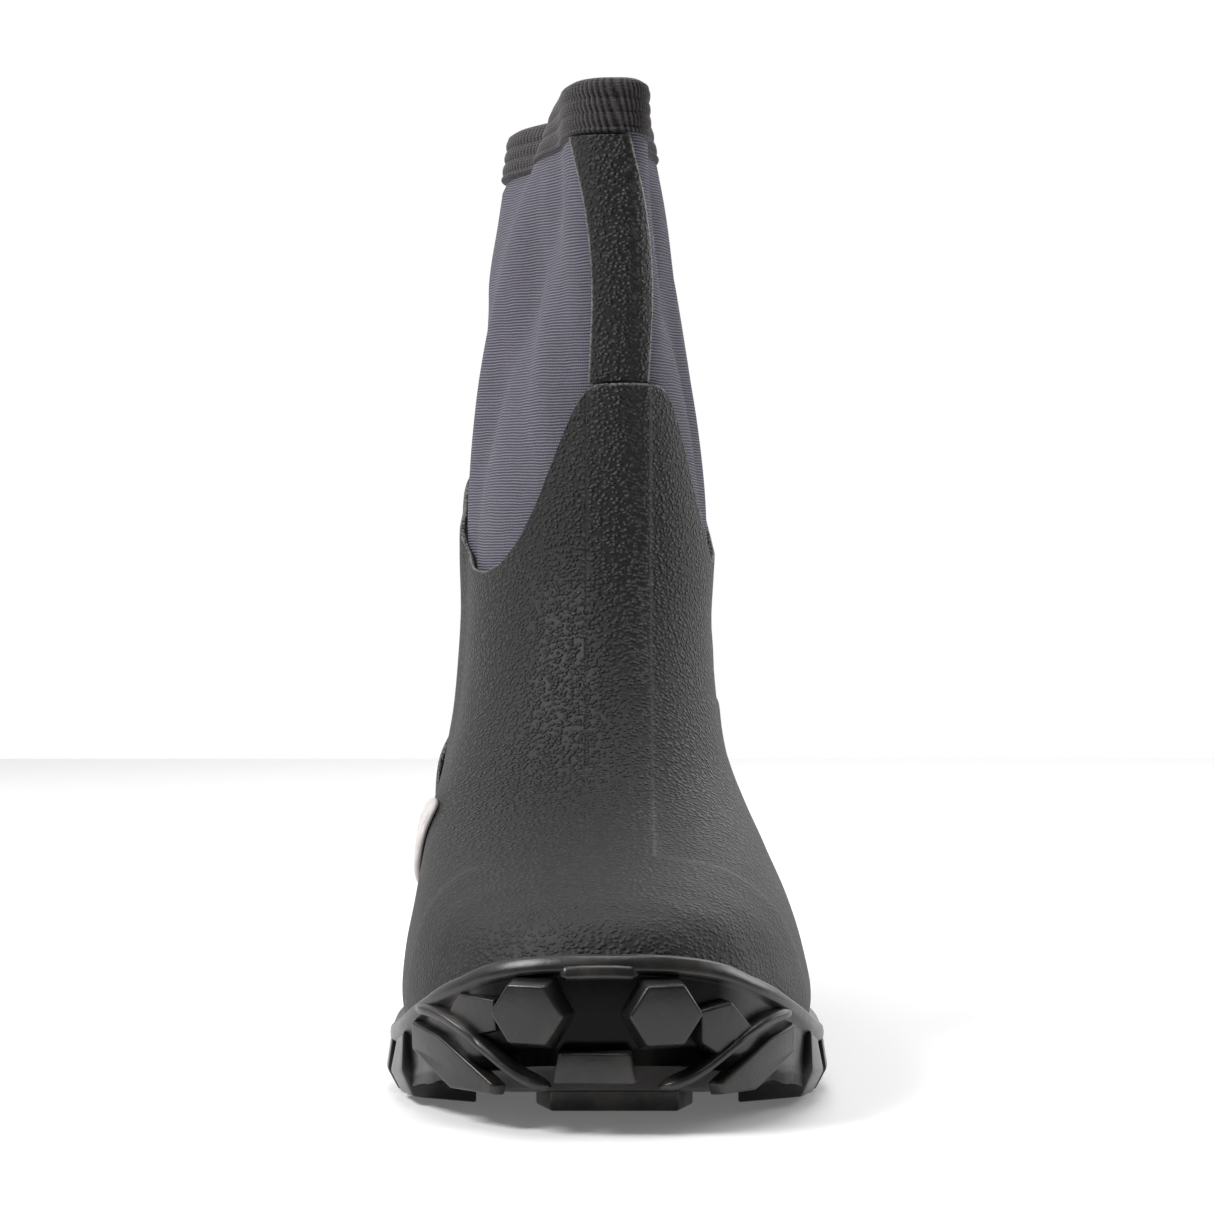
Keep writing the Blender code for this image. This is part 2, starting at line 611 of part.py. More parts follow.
def build_insole(finish):
    """The footbed, inside the bootie's lower edge."""
    bm = bmesh.new()
    rings = []
    offset = -NEOPRENE - 3 * CLEARANCE
    for lift in (0.0, INSOLE):
        points = []
        for turn in TURNS:
            foot = layer(0.0, turn, offset)
            height = sole_line(HEEL_CENTRE - foot.y, "seat") + CLEARANCE + lift
            point = layer(level_at(turn, height, offset), turn, offset)
            point.z = height
            points.append(point)
        rings.append(add_ring(bm, points))
    skin_rings(bm, rings)
    for ring in rings:
        ladder(bm, ring)
    return add_object("insole", bm, finish)


def sole_offset(turn):
    """Distance from the bootie's face to the inside of the sole's wall: more where the toe cap's step lies."""
    length = HEEL_CENTRE - skin(1, turn).y
    cap = min(edge[0] for edge in TOE_CAP_EDGE) * SOLE_LENGTH
    return COVER_OUTSIDE + 2.6 * CLEARANCE + STEP * ease((length - cap) / (0.1 * BALL_WIDTH) + 1.5)


def sole_outline(turn):
    """A point of the sole's outline, seen from below, and the level direction out of it."""
    face = layer(0.5, turn, 0.0)
    away = outward(0.5, turn)
    away.z = 0
    away.normalize()
    return face + away * (sole_offset(turn) + RIM), away


def edge_height(turn, column):
    return sole_line(HEEL_CENTRE - sole_outline(turn)[0].y, column)


def wall_point(turn, height, spread):
    """A point on the sole's side at a height, spread out from the plain wall."""
    offset = sole_offset(turn) + RIM + spread
    level = level_at(turn, height, offset)
    if level > 0.5:
        return layer(level, turn, offset)
    point, away = sole_outline(turn)
    point = point + away * spread
    point.z = height
    return point


def under_point(turn, inset, lift):
    """A point under the sole, at a distance in from its outline, lifted off the tread."""
    point, away = sole_outline(turn)
    point = point - away * inset
    length = HEEL_CENTRE - point.y
    edge = edge_height(turn, "edge")
    point.z = blend(edge, sole_line(length, "tread"), ease(inset / ROUNDING)) + lift
    return point


def build_sole_body():
    """The sole with no lugs: a tray with a wall round the foot, higher over the toe, and a band along its top."""
    bm = bmesh.new()
    rings = []
    for share in (0.0, 0.25, 0.5, 0.75, 1.0):
        points = []
        for turn in TURNS:
            offset = sole_offset(turn)
            point = layer(level_at(turn, edge_height(turn, "rim"), offset) * share, turn, offset)
            if share == 0:
                point.z = sole_line(HEEL_CENTRE - point.y, "seat")
            points.append(point)
        rings.append(add_ring(bm, points))
    tray = rings[0]
    recess, foot = RIM_BAND + RECESS, 1.4 * LUG_DEPTH
    wall = (
        (1.0, 0.0, 0.0), (1.0, RIM_BAND, CLEARANCE), (1.0, recess, -RECESS), (0.5, (recess - foot) / 2, -RECESS),
        (0.0, -foot, -RECESS), (0.0, -LUG_DEPTH, -UNDERCUT),
    )  # fmt: skip
    for part, drop, spread in wall:
        points = []
        for turn in TURNS:
            height = blend(edge_height(turn, "edge"), edge_height(turn, "rim"), part) - drop
            points.append(wall_point(turn, height, spread))
        rings.append(add_ring(bm, points))
    rings.append(add_ring(bm, [under_point(t, ROUNDING, LUG_DEPTH) for t in TURNS]))
    skin_rings(bm, rings)
    ladder(bm, tray)
    ladder(bm, rings[-1])
    return add_object("outsole_body", bm)


def way_round(side):
    """Turns of the sole's outline by the share of the way round from the heel to the toe, on one side."""
    turns = [side * math.pi * i / 180 for i in range(181)]
    points = [sole_outline(turn)[0] for turn in turns]
    lengths = [0.0]
    for a, b in zip(points, points[1:]):
        lengths.append(lengths[-1] + math.hypot(b.x - a.x, b.y - a.y))

    def turn_at(share):
        for i in range(180):
            if lengths[i + 1] >= share * lengths[-1]:
                t = (share * lengths[-1] - lengths[i]) / (lengths[i + 1] - lengths[i])
                return blend(turns[i], turns[i + 1], t) % (2 * math.pi)
        return turns[-1] % (2 * math.pi)

    return turn_at


def edge_lug(bm, turns, inward, up):
    """One lug on the sole's edge, from under the sole up its wall, narrower at its top."""
    rings = []
    for k, turn in enumerate(turns):
        low, high = edge_height(turn, "edge"), edge_height(turn, "rim")
        top = blend(low, high, up)
        lean = turns[1] + (turn - turns[1]) * 0.8
        rings.append(add_ring(bm, [
            under_point(turn, inward, 0.0),
            under_point(turn, LUG_BEVEL, 0.0),
            wall_point(turn, blend(low, high, 0.32), SIDE_RIB),
            wall_point(lean, top, CLEARANCE),
            wall_point(lean, top - LUG_BEVEL, -LUG_ROOT),
            wall_point(turn, blend(low, high, 0.48), -LUG_ROOT),
            under_point(turn, 2 * LUG_ROOT, LUG_DEPTH + LUG_BEVEL),
            under_point(turn, inward, 1.5 * LUG_DEPTH),
        ]))  # fmt: skip
    skin_rings(bm, rings)
    bm.faces.new(rings[0])
    bm.faces.new(rings[-1])


def build_edge_lugs():
    bm = bmesh.new()
    for side in (1, -1):
        turn_at = way_round(side)
        for lug in named_rows(EDGE_LUG_COLUMNS, EDGE_LUGS):
            turns = [turn_at(blend(lug["start"], lug["stop"], t)) for t in (0.0, 0.5, 1.0)]
            edge_lug(bm, turns, lug["inward"] * BALL_WIDTH, lug["up"])
    return add_object("edge_lugs", bm)


def tread_block(bm, outline):
    """One lug: an outline of (x, length) pairs, pushed from inside the sole down to the tread line."""
    low, high = [], []
    for x, length in outline:
        tread = sole_line(length, "tread")
        low.append(bm.verts.new((x, HEEL_CENTRE - length, tread)))
        high.append(bm.verts.new((x, HEEL_CENTRE - length, tread + 1.5 * LUG_DEPTH)))
    skin_rings(bm, [low, high])
    bm.faces.new(low)
    bm.faces.new(high)


def hexagon(x, length, across):
    radius = across / math.sqrt(3)
    angles = [math.radians(30 + 60 * i) for i in range(6)]
    return [(x + radius * math.cos(a), length + radius * math.sin(a)) for a in angles]


def build_middle_lugs():
    """Six-sided lugs down the middle of the heel and the forefoot, and the block under the toe."""
    bm = bmesh.new()
    across = 0.165 * BALL_WIDTH
    pitch = across + LUG_GAP
    for row in range(3):
        length = FOREFOOT_FLAT[0] * SOLE_LENGTH + pitch * (0.6 + 0.866 * row)
        for x in ((-pitch / 2, pitch / 2) if row % 2 else (0.0,)):
            tread_block(bm, hexagon(x, length, across))
    for row in (-1, 0, 1):
        tread_block(bm, hexagon(0.0, HEEL_CENTRE + row * pitch, across))
    tread_block(bm, [(x * BALL_WIDTH, at * SOLE_LENGTH) for x, at in TOE_BLOCK])
    return add_object("middle_lugs", bm)


def toe_point(x, height, spread):
    """A point on the front of the toe at x and a height, spread out from the plain wall."""
    low, high = math.pi / 2, 3 * math.pi / 2
    for _ in range(20):
        turn = (low + high) / 2
        if wall_point(turn, height, 0).x > x:
            low = turn
        else:
            high = turn
    return wall_point(low, height, spread)


def wall_block(bm, middle, outline, root_scale):
    """A block on the front of the toe: an outline round its middle, wider at its root, with a flat face."""
    x, height = middle
    rings = []
    for scale, spread in ((root_scale, -LUG_ROOT), (1.0, TOE_LUG_HEIGHT - RECESS)):
        rings.append(add_ring(bm, [toe_point(x + a * scale, height + b * scale, spread) for a, b in outline]))
    skin_rings(bm, rings)
    bm.faces.new(rings[-1])
    root = bm.verts.new(toe_point(x, height, -LUG_ROOT))
    for first, second in zip(rings[0], rings[0][1:] + rings[0][:1]):
        bm.faces.new((first, second, root))


def build_toe_lugs():
    """Two six-sided lugs on the front of the toe with flat faces, and the step between them."""
    bm = bmesh.new()
    middle = 0.5 * (sole_line(SOLE_LENGTH, "edge") + sole_line(SOLE_LENGTH, "rim"))
    radius = TOE_LUG / 2
    six_sided = [(radius * math.cos(a), radius * math.sin(a)) for a in (math.radians(60 * i) for i in range(6))]
    for x in (-0.15 * BALL_WIDTH, 0.125 * BALL_WIDTH):
        wall_block(bm, (x, middle), six_sided, 1.24)
    step = [(across * TOE_LUG, up * TOE_LUG) for across, up in TOE_STEP]
    step_x, step_up = (sum(corner[k] for corner in step) / len(step) for k in (0, 1))
    outline = [(across - step_x, up - step_up) for across, up in step]
    wall_block(bm, (step_x, middle + step_up), outline, 1.08)
    return add_object("toe_lugs", bm)


def build_outsole(finish):
    sole = build_sole_body()
    for lugs in (build_edge_lugs(), build_middle_lugs(), build_toe_lugs()):
        combine(sole, lugs, "UNION")
    sole.name = sole.data.name = "outsole"
    sole.hide_render = False
    sole.display_type = "TEXTURED"
    sole.data.materials.clear()
    sole.data.materials.append(finish)
    return sole


def main():
    for old in list(bpy.data.objects):
        bpy.data.objects.remove(old)
    neoprene = material("neoprene", (0.105, 0.100, 0.140), 0.9)
    rubber = material("rubber", (0.030, 0.030, 0.031), 0.6)
    sole_rubber = material("sole_rubber", (0.020, 0.019, 0.019), 0.5)
    knit = material("knit", (0.032, 0.029, 0.031), 0.9)
    pale = material("badge", (0.55, 0.50, 0.50), 0.4)
    foam = material("footbed", (0.06, 0.06, 0.065), 0.9)
    build_upper(neoprene)
    build_cover(rubber)
    build_strip(rubber)
    build_counter(rubber)
    build_badge(pale)
    build_binding(knit)
    build_insole(foam)
    build_outsole(sole_rubber)


main()
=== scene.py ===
# %% [markdown]
# # Insulated rubber boot
# A winter boot with a soft foam rubber shaft, a rubber cover that comes up the shin, and a lugged rubber
# outsole. The solids of the boot come first, as a fixed frame. This lesson then lays a finely shaped skin
# over each of them: every piece is a flat grid that is wrapped round the same form, so all of them fit
# together.

# %% Load the frame
import math

import bmesh
import bpy
import numpy as np
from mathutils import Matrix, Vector


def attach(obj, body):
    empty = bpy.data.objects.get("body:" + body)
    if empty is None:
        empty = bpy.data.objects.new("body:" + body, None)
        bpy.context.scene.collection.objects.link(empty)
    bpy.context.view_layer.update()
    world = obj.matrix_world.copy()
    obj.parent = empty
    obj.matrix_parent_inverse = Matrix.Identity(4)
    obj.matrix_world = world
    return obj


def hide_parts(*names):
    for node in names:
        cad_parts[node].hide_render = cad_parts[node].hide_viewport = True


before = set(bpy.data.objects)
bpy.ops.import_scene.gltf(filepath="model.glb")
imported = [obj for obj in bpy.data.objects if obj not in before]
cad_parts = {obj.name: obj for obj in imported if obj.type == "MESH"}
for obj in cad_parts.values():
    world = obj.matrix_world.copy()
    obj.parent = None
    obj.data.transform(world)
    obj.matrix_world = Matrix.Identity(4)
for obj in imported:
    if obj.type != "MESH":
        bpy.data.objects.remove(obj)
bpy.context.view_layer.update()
print("nodes:", sorted(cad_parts))

# %% [markdown]
# ## Sizes
# The boot is 281 mm high and stands on a sole 315 mm long. All the other lengths hang on these few, and
# they are the same as those of the solids, so that a skin lies where its solid does.

# %% Sizes in metres
SOLE_LENGTH = 0.315
BALL_WIDTH = 0.118
SOLE_HEIGHT = 0.026
ANKLE_HEIGHT = 0.120
BOOT_HEIGHT = 0.281
SHAFT_DEPTH = 0.134
SHAFT_WIDTH = 0.074
HEEL_CENTRE = 0.052
GAP = 0.0003
NEOPRENE = 0.005
RUBBER = 0.0022
STEP = 0.0007
COUNTER = 0.0015
STRIP = 0.0014
BADGE = 0.0026
RIM = 0.0028
STRIP_WIDTH = 0.0165
BAND_WIDTH = 0.0190
BINDING_HEIGHT = 0.0145
BINDING = 0.0014
BINDING_ROLL = 0.0008
LUG_DEPTH = 0.005
LUG_GAP = 0.0045
LUG_ROOT = 0.0020
TOE_LUG = 0.0170
TOE_LUG_HEIGHT = 0.0038
SIDE_RIB = 0.0015
RIM_BAND = 0.0040
RECESS = 0.0010
ROUNDING = 0.014
COVER_OUTSIDE = GAP + RUBBER
STRIP_LINE = np.array((  # the strip's middle: share of BOOT_HEIGHT, share of SHAFT_WIDTH
    (0.0, 0.057), (0.69, 0.057), (0.77, 0.072), (0.82, 0.066), (0.875, 0.041), (0.932, -0.006), (1.0, -0.05),
))  # fmt: skip

# %% [markdown]
# ## The form of the foot and leg
# A boot is built on a last, and a last is drawn as a stack of sections. Each row here is one closed line
# round the boot, from the sole up to the collar: where it starts and ends, how high, and how wide at heel,
# waist and ball. Between the rows the form runs on a smooth curve.

# %% The table of sections
COLUMN_NAMES = (
    "front", "front_up", "back", "back_up", "front_x", "back_x", "heel_in", "heel_out",
    "waist_in", "waist_out", "ball_in", "ball_out", "heel_at", "ball_at", "nose",
)  # fmt: skip
FOOT_ROWS = (  # shares of SOLE_LENGTH, ANKLE_HEIGHT and BALL_WIDTH
    (0.960, 0.167, 0.023, 0.216, 0.008, 0.000, 0.29, 0.29, 0.31, 0.33, 0.430, 0.425, 0.14, 0.70, 2.2),
    (0.970, 0.258, 0.015, 0.320, 0.008, 0.000, 0.32, 0.32, 0.34, 0.36, 0.452, 0.448, 0.14, 0.70, 2.2),
    (0.960, 0.340, 0.014, 0.420, 0.008, 0.000, 0.33, 0.33, 0.355, 0.375, 0.436, 0.443, 0.14, 0.70, 2.2),
    (0.936, 0.415, 0.019, 0.517, 0.010, 0.000, 0.325, 0.335, 0.345, 0.385, 0.403, 0.426, 0.15, 0.70, 2.3),
    (0.880, 0.473, 0.028, 0.617, 0.012, 0.000, 0.310, 0.335, 0.320, 0.390, 0.360, 0.415, 0.17, 0.67, 2.4),
    (0.795, 0.519, 0.041, 0.717, 0.014, -0.005, 0.290, 0.335, 0.290, 0.395, 0.322, 0.405, 0.19, 0.64, 2.6),
    (0.710, 0.578, 0.056, 0.817, 0.017, -0.015, 0.280, 0.330, 0.277, 0.380, 0.292, 0.375, 0.23, 0.62, 2.5),
    (0.640, 0.664, 0.069, 0.917, 0.019, -0.028, 0.284, 0.325, 0.277, 0.360, 0.272, 0.350, 0.29, 0.60, 2.3),
    (0.577, 0.812, 0.079, 1.017, 0.020, -0.040, 0.286, 0.322, 0.272, 0.345, 0.262, 0.330, 0.34, 0.60, 2.1),
    (0.532, 0.988, 0.086, 1.117, 0.021, -0.050, 0.280, 0.318, 0.272, 0.335, 0.259, 0.320, 0.38, 0.60, 2.0),
)  # fmt: skip
SHAFT_BACK = 0.086 * SOLE_LENGTH
SHAFT_ROWS = (  # shares of SHAFT_DEPTH, of the shaft's height above the ankle, and of SHAFT_WIDTH
    (0.985, 0.130, 0.000, 0.175, 0.036, -0.100, 0.455, 0.515, 0.460, 0.532, 0.430, 0.500, 0.38, 0.60, 2.0),
    (0.975, 0.285, -0.005, 0.290, 0.042, -0.108, 0.440, 0.500, 0.450, 0.525, 0.395, 0.470, 0.37, 0.61, 2.0),
    (0.985, 0.460, -0.022, 0.460, 0.057, -0.108, 0.400, 0.480, 0.393, 0.500, 0.310, 0.390, 0.36, 0.64, 2.0),
    (1.000, 0.645, -0.052, 0.645, 0.072, -0.108, 0.340, 0.440, 0.325, 0.440, 0.205, 0.290, 0.32, 0.70, 2.3),
    (1.010, 0.815, -0.082, 0.810, 0.058, -0.110, 0.285, 0.385, 0.275, 0.350, 0.155, 0.215, 0.26, 0.78, 2.7),
    (1.012, 1.000, -0.105, 0.975, 0.054, -0.128, 0.250, 0.310, 0.210, 0.190, 0.140, 0.190, 0.18, 0.82, 2.9),
)  # fmt: skip


def metres(rows, length, height, width, length_from=0.0, height_from=0.0):
    scale = [length, height, length, height] + [width] * 8 + [1.0] * 3
    start = [length_from, height_from, length_from, height_from] + [0.0] * 11
    return np.array(rows) * scale + start


shaft_height = BOOT_HEIGHT - BINDING - GAP - ANKLE_HEIGHT
SECTIONS = np.vstack([
    metres(FOOT_ROWS, SOLE_LENGTH, ANKLE_HEIGHT, BALL_WIDTH),
    metres(SHAFT_ROWS, SHAFT_DEPTH, shaft_height, SHAFT_WIDTH, SHAFT_BACK, ANKLE_HEIGHT),
])
TOP = len(SECTIONS) - 1
ANKLE = len(FOOT_ROWS) - 1
print(len(SECTIONS), "sections, the ankle is number", ANKLE)

# %% The sole's lines from heel to toe
SOLE_LINES = np.array((  # share of SOLE_LENGTH, then tread, edge, seat and rim as shares of SOLE_HEIGHT
    (0.000, 0.12, 0.16, 1.00, 1.42), (0.060, 0.00, 0.03, 1.00, 1.38), (0.160, 0.00, 0.02, 0.98, 1.28),
    (0.290, 0.00, 0.02, 0.92, 1.16), (0.330, 0.26, 0.26, 0.85, 1.10), (0.450, 0.28, 0.28, 0.66, 0.95),
    (0.550, 0.18, 0.18, 0.54, 0.80), (0.600, 0.00, 0.02, 0.47, 0.69), (0.700, 0.00, 0.02, 0.44, 0.63),
    (0.760, 0.00, 0.03, 0.45, 0.68), (0.825, 0.00, 0.08, 0.50, 0.86), (0.875, 0.03, 0.18, 0.60, 1.10),
    (0.920, 0.12, 0.31, 0.72, 1.37), (0.955, 0.27, 0.42, 0.84, 1.60), (0.980, 0.38, 0.50, 0.92, 1.76),
    (1.000, 0.46, 0.56, 0.96, 1.78),
))  # fmt: skip
SOLE_COLUMNS = {"tread": 1, "edge": 2, "seat": 3, "rim": 4}
RIM_SWEEP = 0.030


def ease(t):
    t = np.clip(t, 0.0, 1.0)
    return t * t * (3 - 2 * t)


def blend(a, b, t):
    return a + (b - a) * t


def softened(table, spread, at):
    """A line through a table with its corners rounded off."""
    shifts = np.linspace(-spread, spread, 7)
    return np.mean([np.interp(at + shift, table[:, 0], table[:, 1]) for shift in shifts], axis=0)


def sole_line(length, column):
    """Height of one of the sole's lines at a distance from the heel end. The rim is one long smooth sweep."""
    at = np.clip(np.asarray(length) / SOLE_LENGTH, 0.0, 1.0)
    if column == "rim":
        return softened(SOLE_LINES[:, [0, SOLE_COLUMNS[column]]], RIM_SWEEP, at) * SOLE_HEIGHT
    k = np.clip(np.searchsorted(SOLE_LINES[:, 0], at) - 1, 0, len(SOLE_LINES) - 2)
    first, second = SOLE_LINES[k], SOLE_LINES[k + 1]
    t = ease((at - first[..., 0]) / (second[..., 0] - first[..., 0]))
    return blend(first[..., SOLE_COLUMNS[column]], second[..., SOLE_COLUMNS[column]], t) * SOLE_HEIGHT


# %% [markdown]
# A point of the form is named by its level, which section it is on, and its turn, how far round it is: 0 at
# the heel, half a turn at the toe. Whole arrays of points are worked out at once. The slack shaft has
# hollows, and the creases of the soft foam are placed as soft troughs (negative) and ridges (positive).

# %% Hollows and creases of the slack shaft
HOLLOWS = (  # side, along from back to shin, height share, depth share of SHAFT_WIDTH, reach along, reach up
    (-1, 0.42, 1.00, 0.060, 0.11, 0.16), (-1, 0.76, 0.80, 0.035, 0.12, 0.14),
    (1, 0.74, 0.84, 0.020, 0.12, 0.16),
)  # fmt: skip
CREASES = (  # angle from the shin and height share at each end, half width and depth in mm
    (-26, 0.90, -17, 0.72, 5.0, -0.9), (-36, 0.92, -24, 0.66, 6.0, 0.8), (-50, 0.86, -32, 0.60, 9.0, -0.8),
    (-66, 0.80, -46, 0.58, 8.0, 0.6), (-118, 0.95, -112, 0.84, 4.0, -0.5),
    (-104, 0.95, -100, 0.86, 4.0, -0.45),
    (24, 0.90, 16, 0.72, 5.0, -0.7), (40, 0.88, 30, 0.62, 8.0, 0.6), (60, 0.80, 48, 0.58, 8.0, -0.6),
    (95, 0.93, 84, 0.74, 6.0, -0.6), (120, 0.82, 100, 0.66, 8.0, 0.6), (150, 0.76, 120, 0.66, 7.0, -0.7),
    (-150, 0.80, -120, 0.68, 7.0, -0.7), (-165, 0.90, -140, 0.80, 6.0, 0.5), (168, 0.70, 140, 0.64, 6.0, 0.6),
)  # fmt: skip
CREASE_SCALE = 1.35
RIDGE_TURN = math.radians(8)  # the shin's ridge lies to the inner side


def shaft_middle():
    row = dict(zip(COLUMN_NAMES, SECTIONS[ANKLE + 2]))
    return (row["front_x"] + row["back_x"]) / 2, HEEL_CENTRE - (row["front"] + row["back"]) / 2


def bearing(points):
    """Angle round the shaft from the shin's ridge, in degrees."""
    x, y = shaft_middle()
    angle = np.arctan2(points[..., 0] - x, y - points[..., 1]) - RIDGE_TURN
    return np.degrees((angle + math.pi) % (2 * math.pi) - math.pi)


def crease_height(points):
    """How far the soft shaft stands out or lies in at each point."""
    angle, up = bearing(points), points[..., 2] / BOOT_HEIGHT
    x, y = shaft_middle()
    radius = np.hypot(points[..., 0] - x, points[..., 1] - y)
    total = np.zeros(angle.shape)
    for a0, up0, a1, up1, width, depth in CREASES:
        du, dv = (a1 - a0), (up1 - up0)
        along = np.clip((up - up0) / dv, -0.3, 1.3)
        aside = np.radians(angle - a0 - du * along) * radius / (width * 0.001)
        past = np.maximum(0.0, np.abs((up - up0) / dv - 0.5) - 0.35) / 0.3
        total += depth * CREASE_SCALE * 0.001 * np.exp(-aside * aside - past * past)
    return total


# %% The form itself
def section(level):
    """The section row at real-valued levels, on a smooth curve through the table's rows."""
    level = np.asarray(level, dtype=float)
    i = np.clip(np.floor(level).astype(int), 0, TOP - 1)
    t = (level - i)[..., None]
    before, a, b, after = (SECTIONS[np.clip(i + k, 0, TOP)] for k in (-1, 0, 1, 2))
    square, cube = t * t, t * t * t
    rows = (
        a * (2 * cube - 3 * square + 1) + (b - before) / 2 * (cube - 2 * square + t)
        + b * (3 * square - 2 * cube) + (after - a) / 2 * (cube - square)
    )
    return {name: rows[..., k] for k, name in enumerate(COLUMN_NAMES)}


def half_width(row, along, side):
    """Half width at a share of the section's length: a round heel, then a waist, the ball and the nose."""
    parts = ("heel", "waist", "ball")
    heel, waist, ball = (np.where(side > 0, row[f"{part}_in"], row[f"{part}_out"]) for part in parts)
    heel_at, ball_at, nose = row["heel_at"], row["ball_at"], row["nose"]
    middle = (heel_at + ball_at) / 2
    round_heel = heel * np.sqrt(np.clip(1 - (1 - along / heel_at) ** 2, 0, None))
    reach = np.clip((along - ball_at) / (1 - ball_at), 0, 1)
    round_nose = ball * np.clip(1 - reach**nose, 0, None) ** (1 / nose)
    rear = blend(heel, waist, ease((along - heel_at) / (middle - heel_at)))
    front = blend(waist, ball, ease((along - middle) / (ball_at - middle)))
    stretches = [along <= heel_at, along >= ball_at, along < middle]
    return np.select(stretches, [round_heel, round_nose, rear], front)


def form(level, turn):
    """Points of the bootie's outer face."""
    level, turn = np.broadcast_arrays(np.asarray(level, float), np.asarray(turn, float))
    row = section(level)
    along = (1 - np.cos(turn)) / 2
    side = np.where(turn % (2 * math.pi) < math.pi, 1, -1)
    length = blend(row["back"], row["front"], along)
    height = blend(row["back_up"], row["front_up"], along)
    flat = blend(SECTIONS[0][3], SECTIONS[0][1], along)
    height = height + (sole_line(length, "seat") + GAP - flat) * (1 - ease(level / 6))
    half = half_width(row, along, side)
    for which, at, up, depth, reach_along, reach_up in HOLLOWS:
        pressed = np.exp(-(((along - at) / reach_along) ** 2) - ((height / BOOT_HEIGHT - up) / reach_up) ** 2)
        fades_out = np.minimum(1, half / (0.1 * SHAFT_WIDTH))
        half = half - (side == which) * depth * SHAFT_WIDTH * pressed * fades_out
    x = blend(row["back_x"], row["front_x"], along) + side * half
    return np.stack([x, HEEL_CENTRE - length, height], axis=-1)


def outward(level, turn):
    """The direction square to the face."""
    level = np.asarray(level, float)
    round_it = form(level, turn + 0.02) - form(level, turn - 0.02)
    up_it = form(np.minimum(TOP, level + 0.02), turn) - form(np.maximum(0, level - 0.02), turn)
    square = np.cross(up_it, round_it)
    return square / np.linalg.norm(square, axis=-1, keepdims=True)


def layer(level, turn, offset):
    """Points at a distance outside the bootie's face, never below the seat of the sole."""
    points = form(level, turn) + outward(level, turn) * np.asarray(offset)[..., None]
    points[..., 2] = np.maximum(points[..., 2], sole_line(HEEL_CENTRE - points[..., 1], "seat") + GAP)
    return points


def level_at(turn, height, offset=0.0):
    """The levels at which columns of a layer reach a height."""
    shape = np.broadcast(turn, height).shape
    low, high = np.zeros(shape), np.full(shape, float(TOP))
    for _ in range(18):
        middle = (low + high) / 2
        below = layer(middle, turn, offset)[..., 2] < height
        low, high = np.where(below, middle, low), np.where(below, high, middle)
    return low


def even_turns():
    """Turns that lie about evenly round the boot, the same on both sides, over the sole and up the shaft."""
    turns = np.linspace(0, 2 * math.pi, 1441)
    total = np.zeros(1441)
    for level in (1.5, ANKLE + 3):
        steps = np.linalg.norm(np.diff(form(level, turns), axis=0), axis=1)
        lengths = np.concatenate([[0], np.cumsum(steps)])
        total += lengths / lengths[-1] / 2
    return turns, (total + 1 - total[::-1]) / 2


TURN_TABLE, SHARE_TABLE = even_turns()


def turn_at(share):
    return np.interp(np.asarray(share) % 1.0, SHARE_TABLE, TURN_TABLE)


girth = np.linalg.norm(np.diff(form(1.5, TURN_TABLE), axis=0), axis=1).sum()
print(f"round the foot at the sole: {girth * 1000:.0f} mm")

# %% [markdown]
# ## Wrapping a grid
# Almost every piece is made the same way. Blender lays a flat grid, each of its points gets a place on the
# form, and the two edges that meet behind the heel are merged. The flat grid also gives the UV map, which a
# knit needs, because its rows run round the leg.


# %% A helper that wraps a grid
def wrap(name, across, up, place, thickness=0.0, merge=0.00004, marks=None):
    """A piece from a grid. place gives points for shares across and up, and marks named values per point."""
    bm = bmesh.new()
    uv = bm.loops.layers.uv.new("UVMap")
    bmesh.ops.create_grid(bm, x_segments=across, y_segments=up, size=1.0)
    bm.verts.ensure_lookup_table()
    shares = np.array([(vert.co.x, vert.co.y) for vert in bm.verts]) / 2 + 0.5
    points = place(shares[:, 0], shares[:, 1])
    for face in bm.faces:
        for loop in face.loops:
            loop[uv].uv = shares[loop.vert.index]
    for key, values in (marks(shares[:, 0], shares[:, 1], points) if marks else {}).items():
        mark = bm.verts.layers.float.new(key)
        for vert, value in zip(bm.verts, values):
            vert[mark] = value
    for vert, point in zip(bm.verts, points):
        vert.co = point
    bmesh.ops.remove_doubles(bm, verts=bm.verts, dist=merge)
    bmesh.ops.recalc_face_normals(bm, faces=bm.faces)
    return finish_piece(name, bm, thickness)


def finish_piece(name, bm, thickness=0.0):
    mesh = bpy.data.meshes.new(name)
    bm.to_mesh(mesh)
    bm.free()
    mesh.shade_smooth()
    piece = bpy.data.objects.new(name, mesh)
    bpy.context.scene.collection.objects.link(piece)
    if thickness:
        wall = piece.modifiers.new("wall", "SOLIDIFY")
        wall.thickness = thickness
        wall.offset = -1
        wall.use_even_offset = False
    print(f"{name}: {len(mesh.polygons)} faces")
    return piece


def outward_check(piece, centre):
    """Turns the piece's faces round if they look at its centre."""
    mesh = piece.data
    facing = sum((p.center - Vector(centre)).dot(p.normal) * p.area for p in mesh.polygons)
    if facing < 0:
        mesh.flip_normals()
    return piece


# %% [markdown]
# ## Materials
# Each finish is a small set of nodes on Object coordinates, in metres, or on the grid's own UV map where a
# knit follows the surface. The helpers below only save repeating the same three lines for every node.


# %% Helpers for nodes
def new_material(name, colour, roughness, **inputs):
    made = bpy.data.materials.new(name)
    made.use_nodes = True
    shader = made.node_tree.nodes["Principled BSDF"]
    shader.inputs["Base Color"].default_value = (*colour, 1)
    shader.inputs["Roughness"].default_value = roughness
    for key, value in inputs.items():
        shader.inputs[key.replace("_", " ")].default_value = value
    return made, made.node_tree, shader


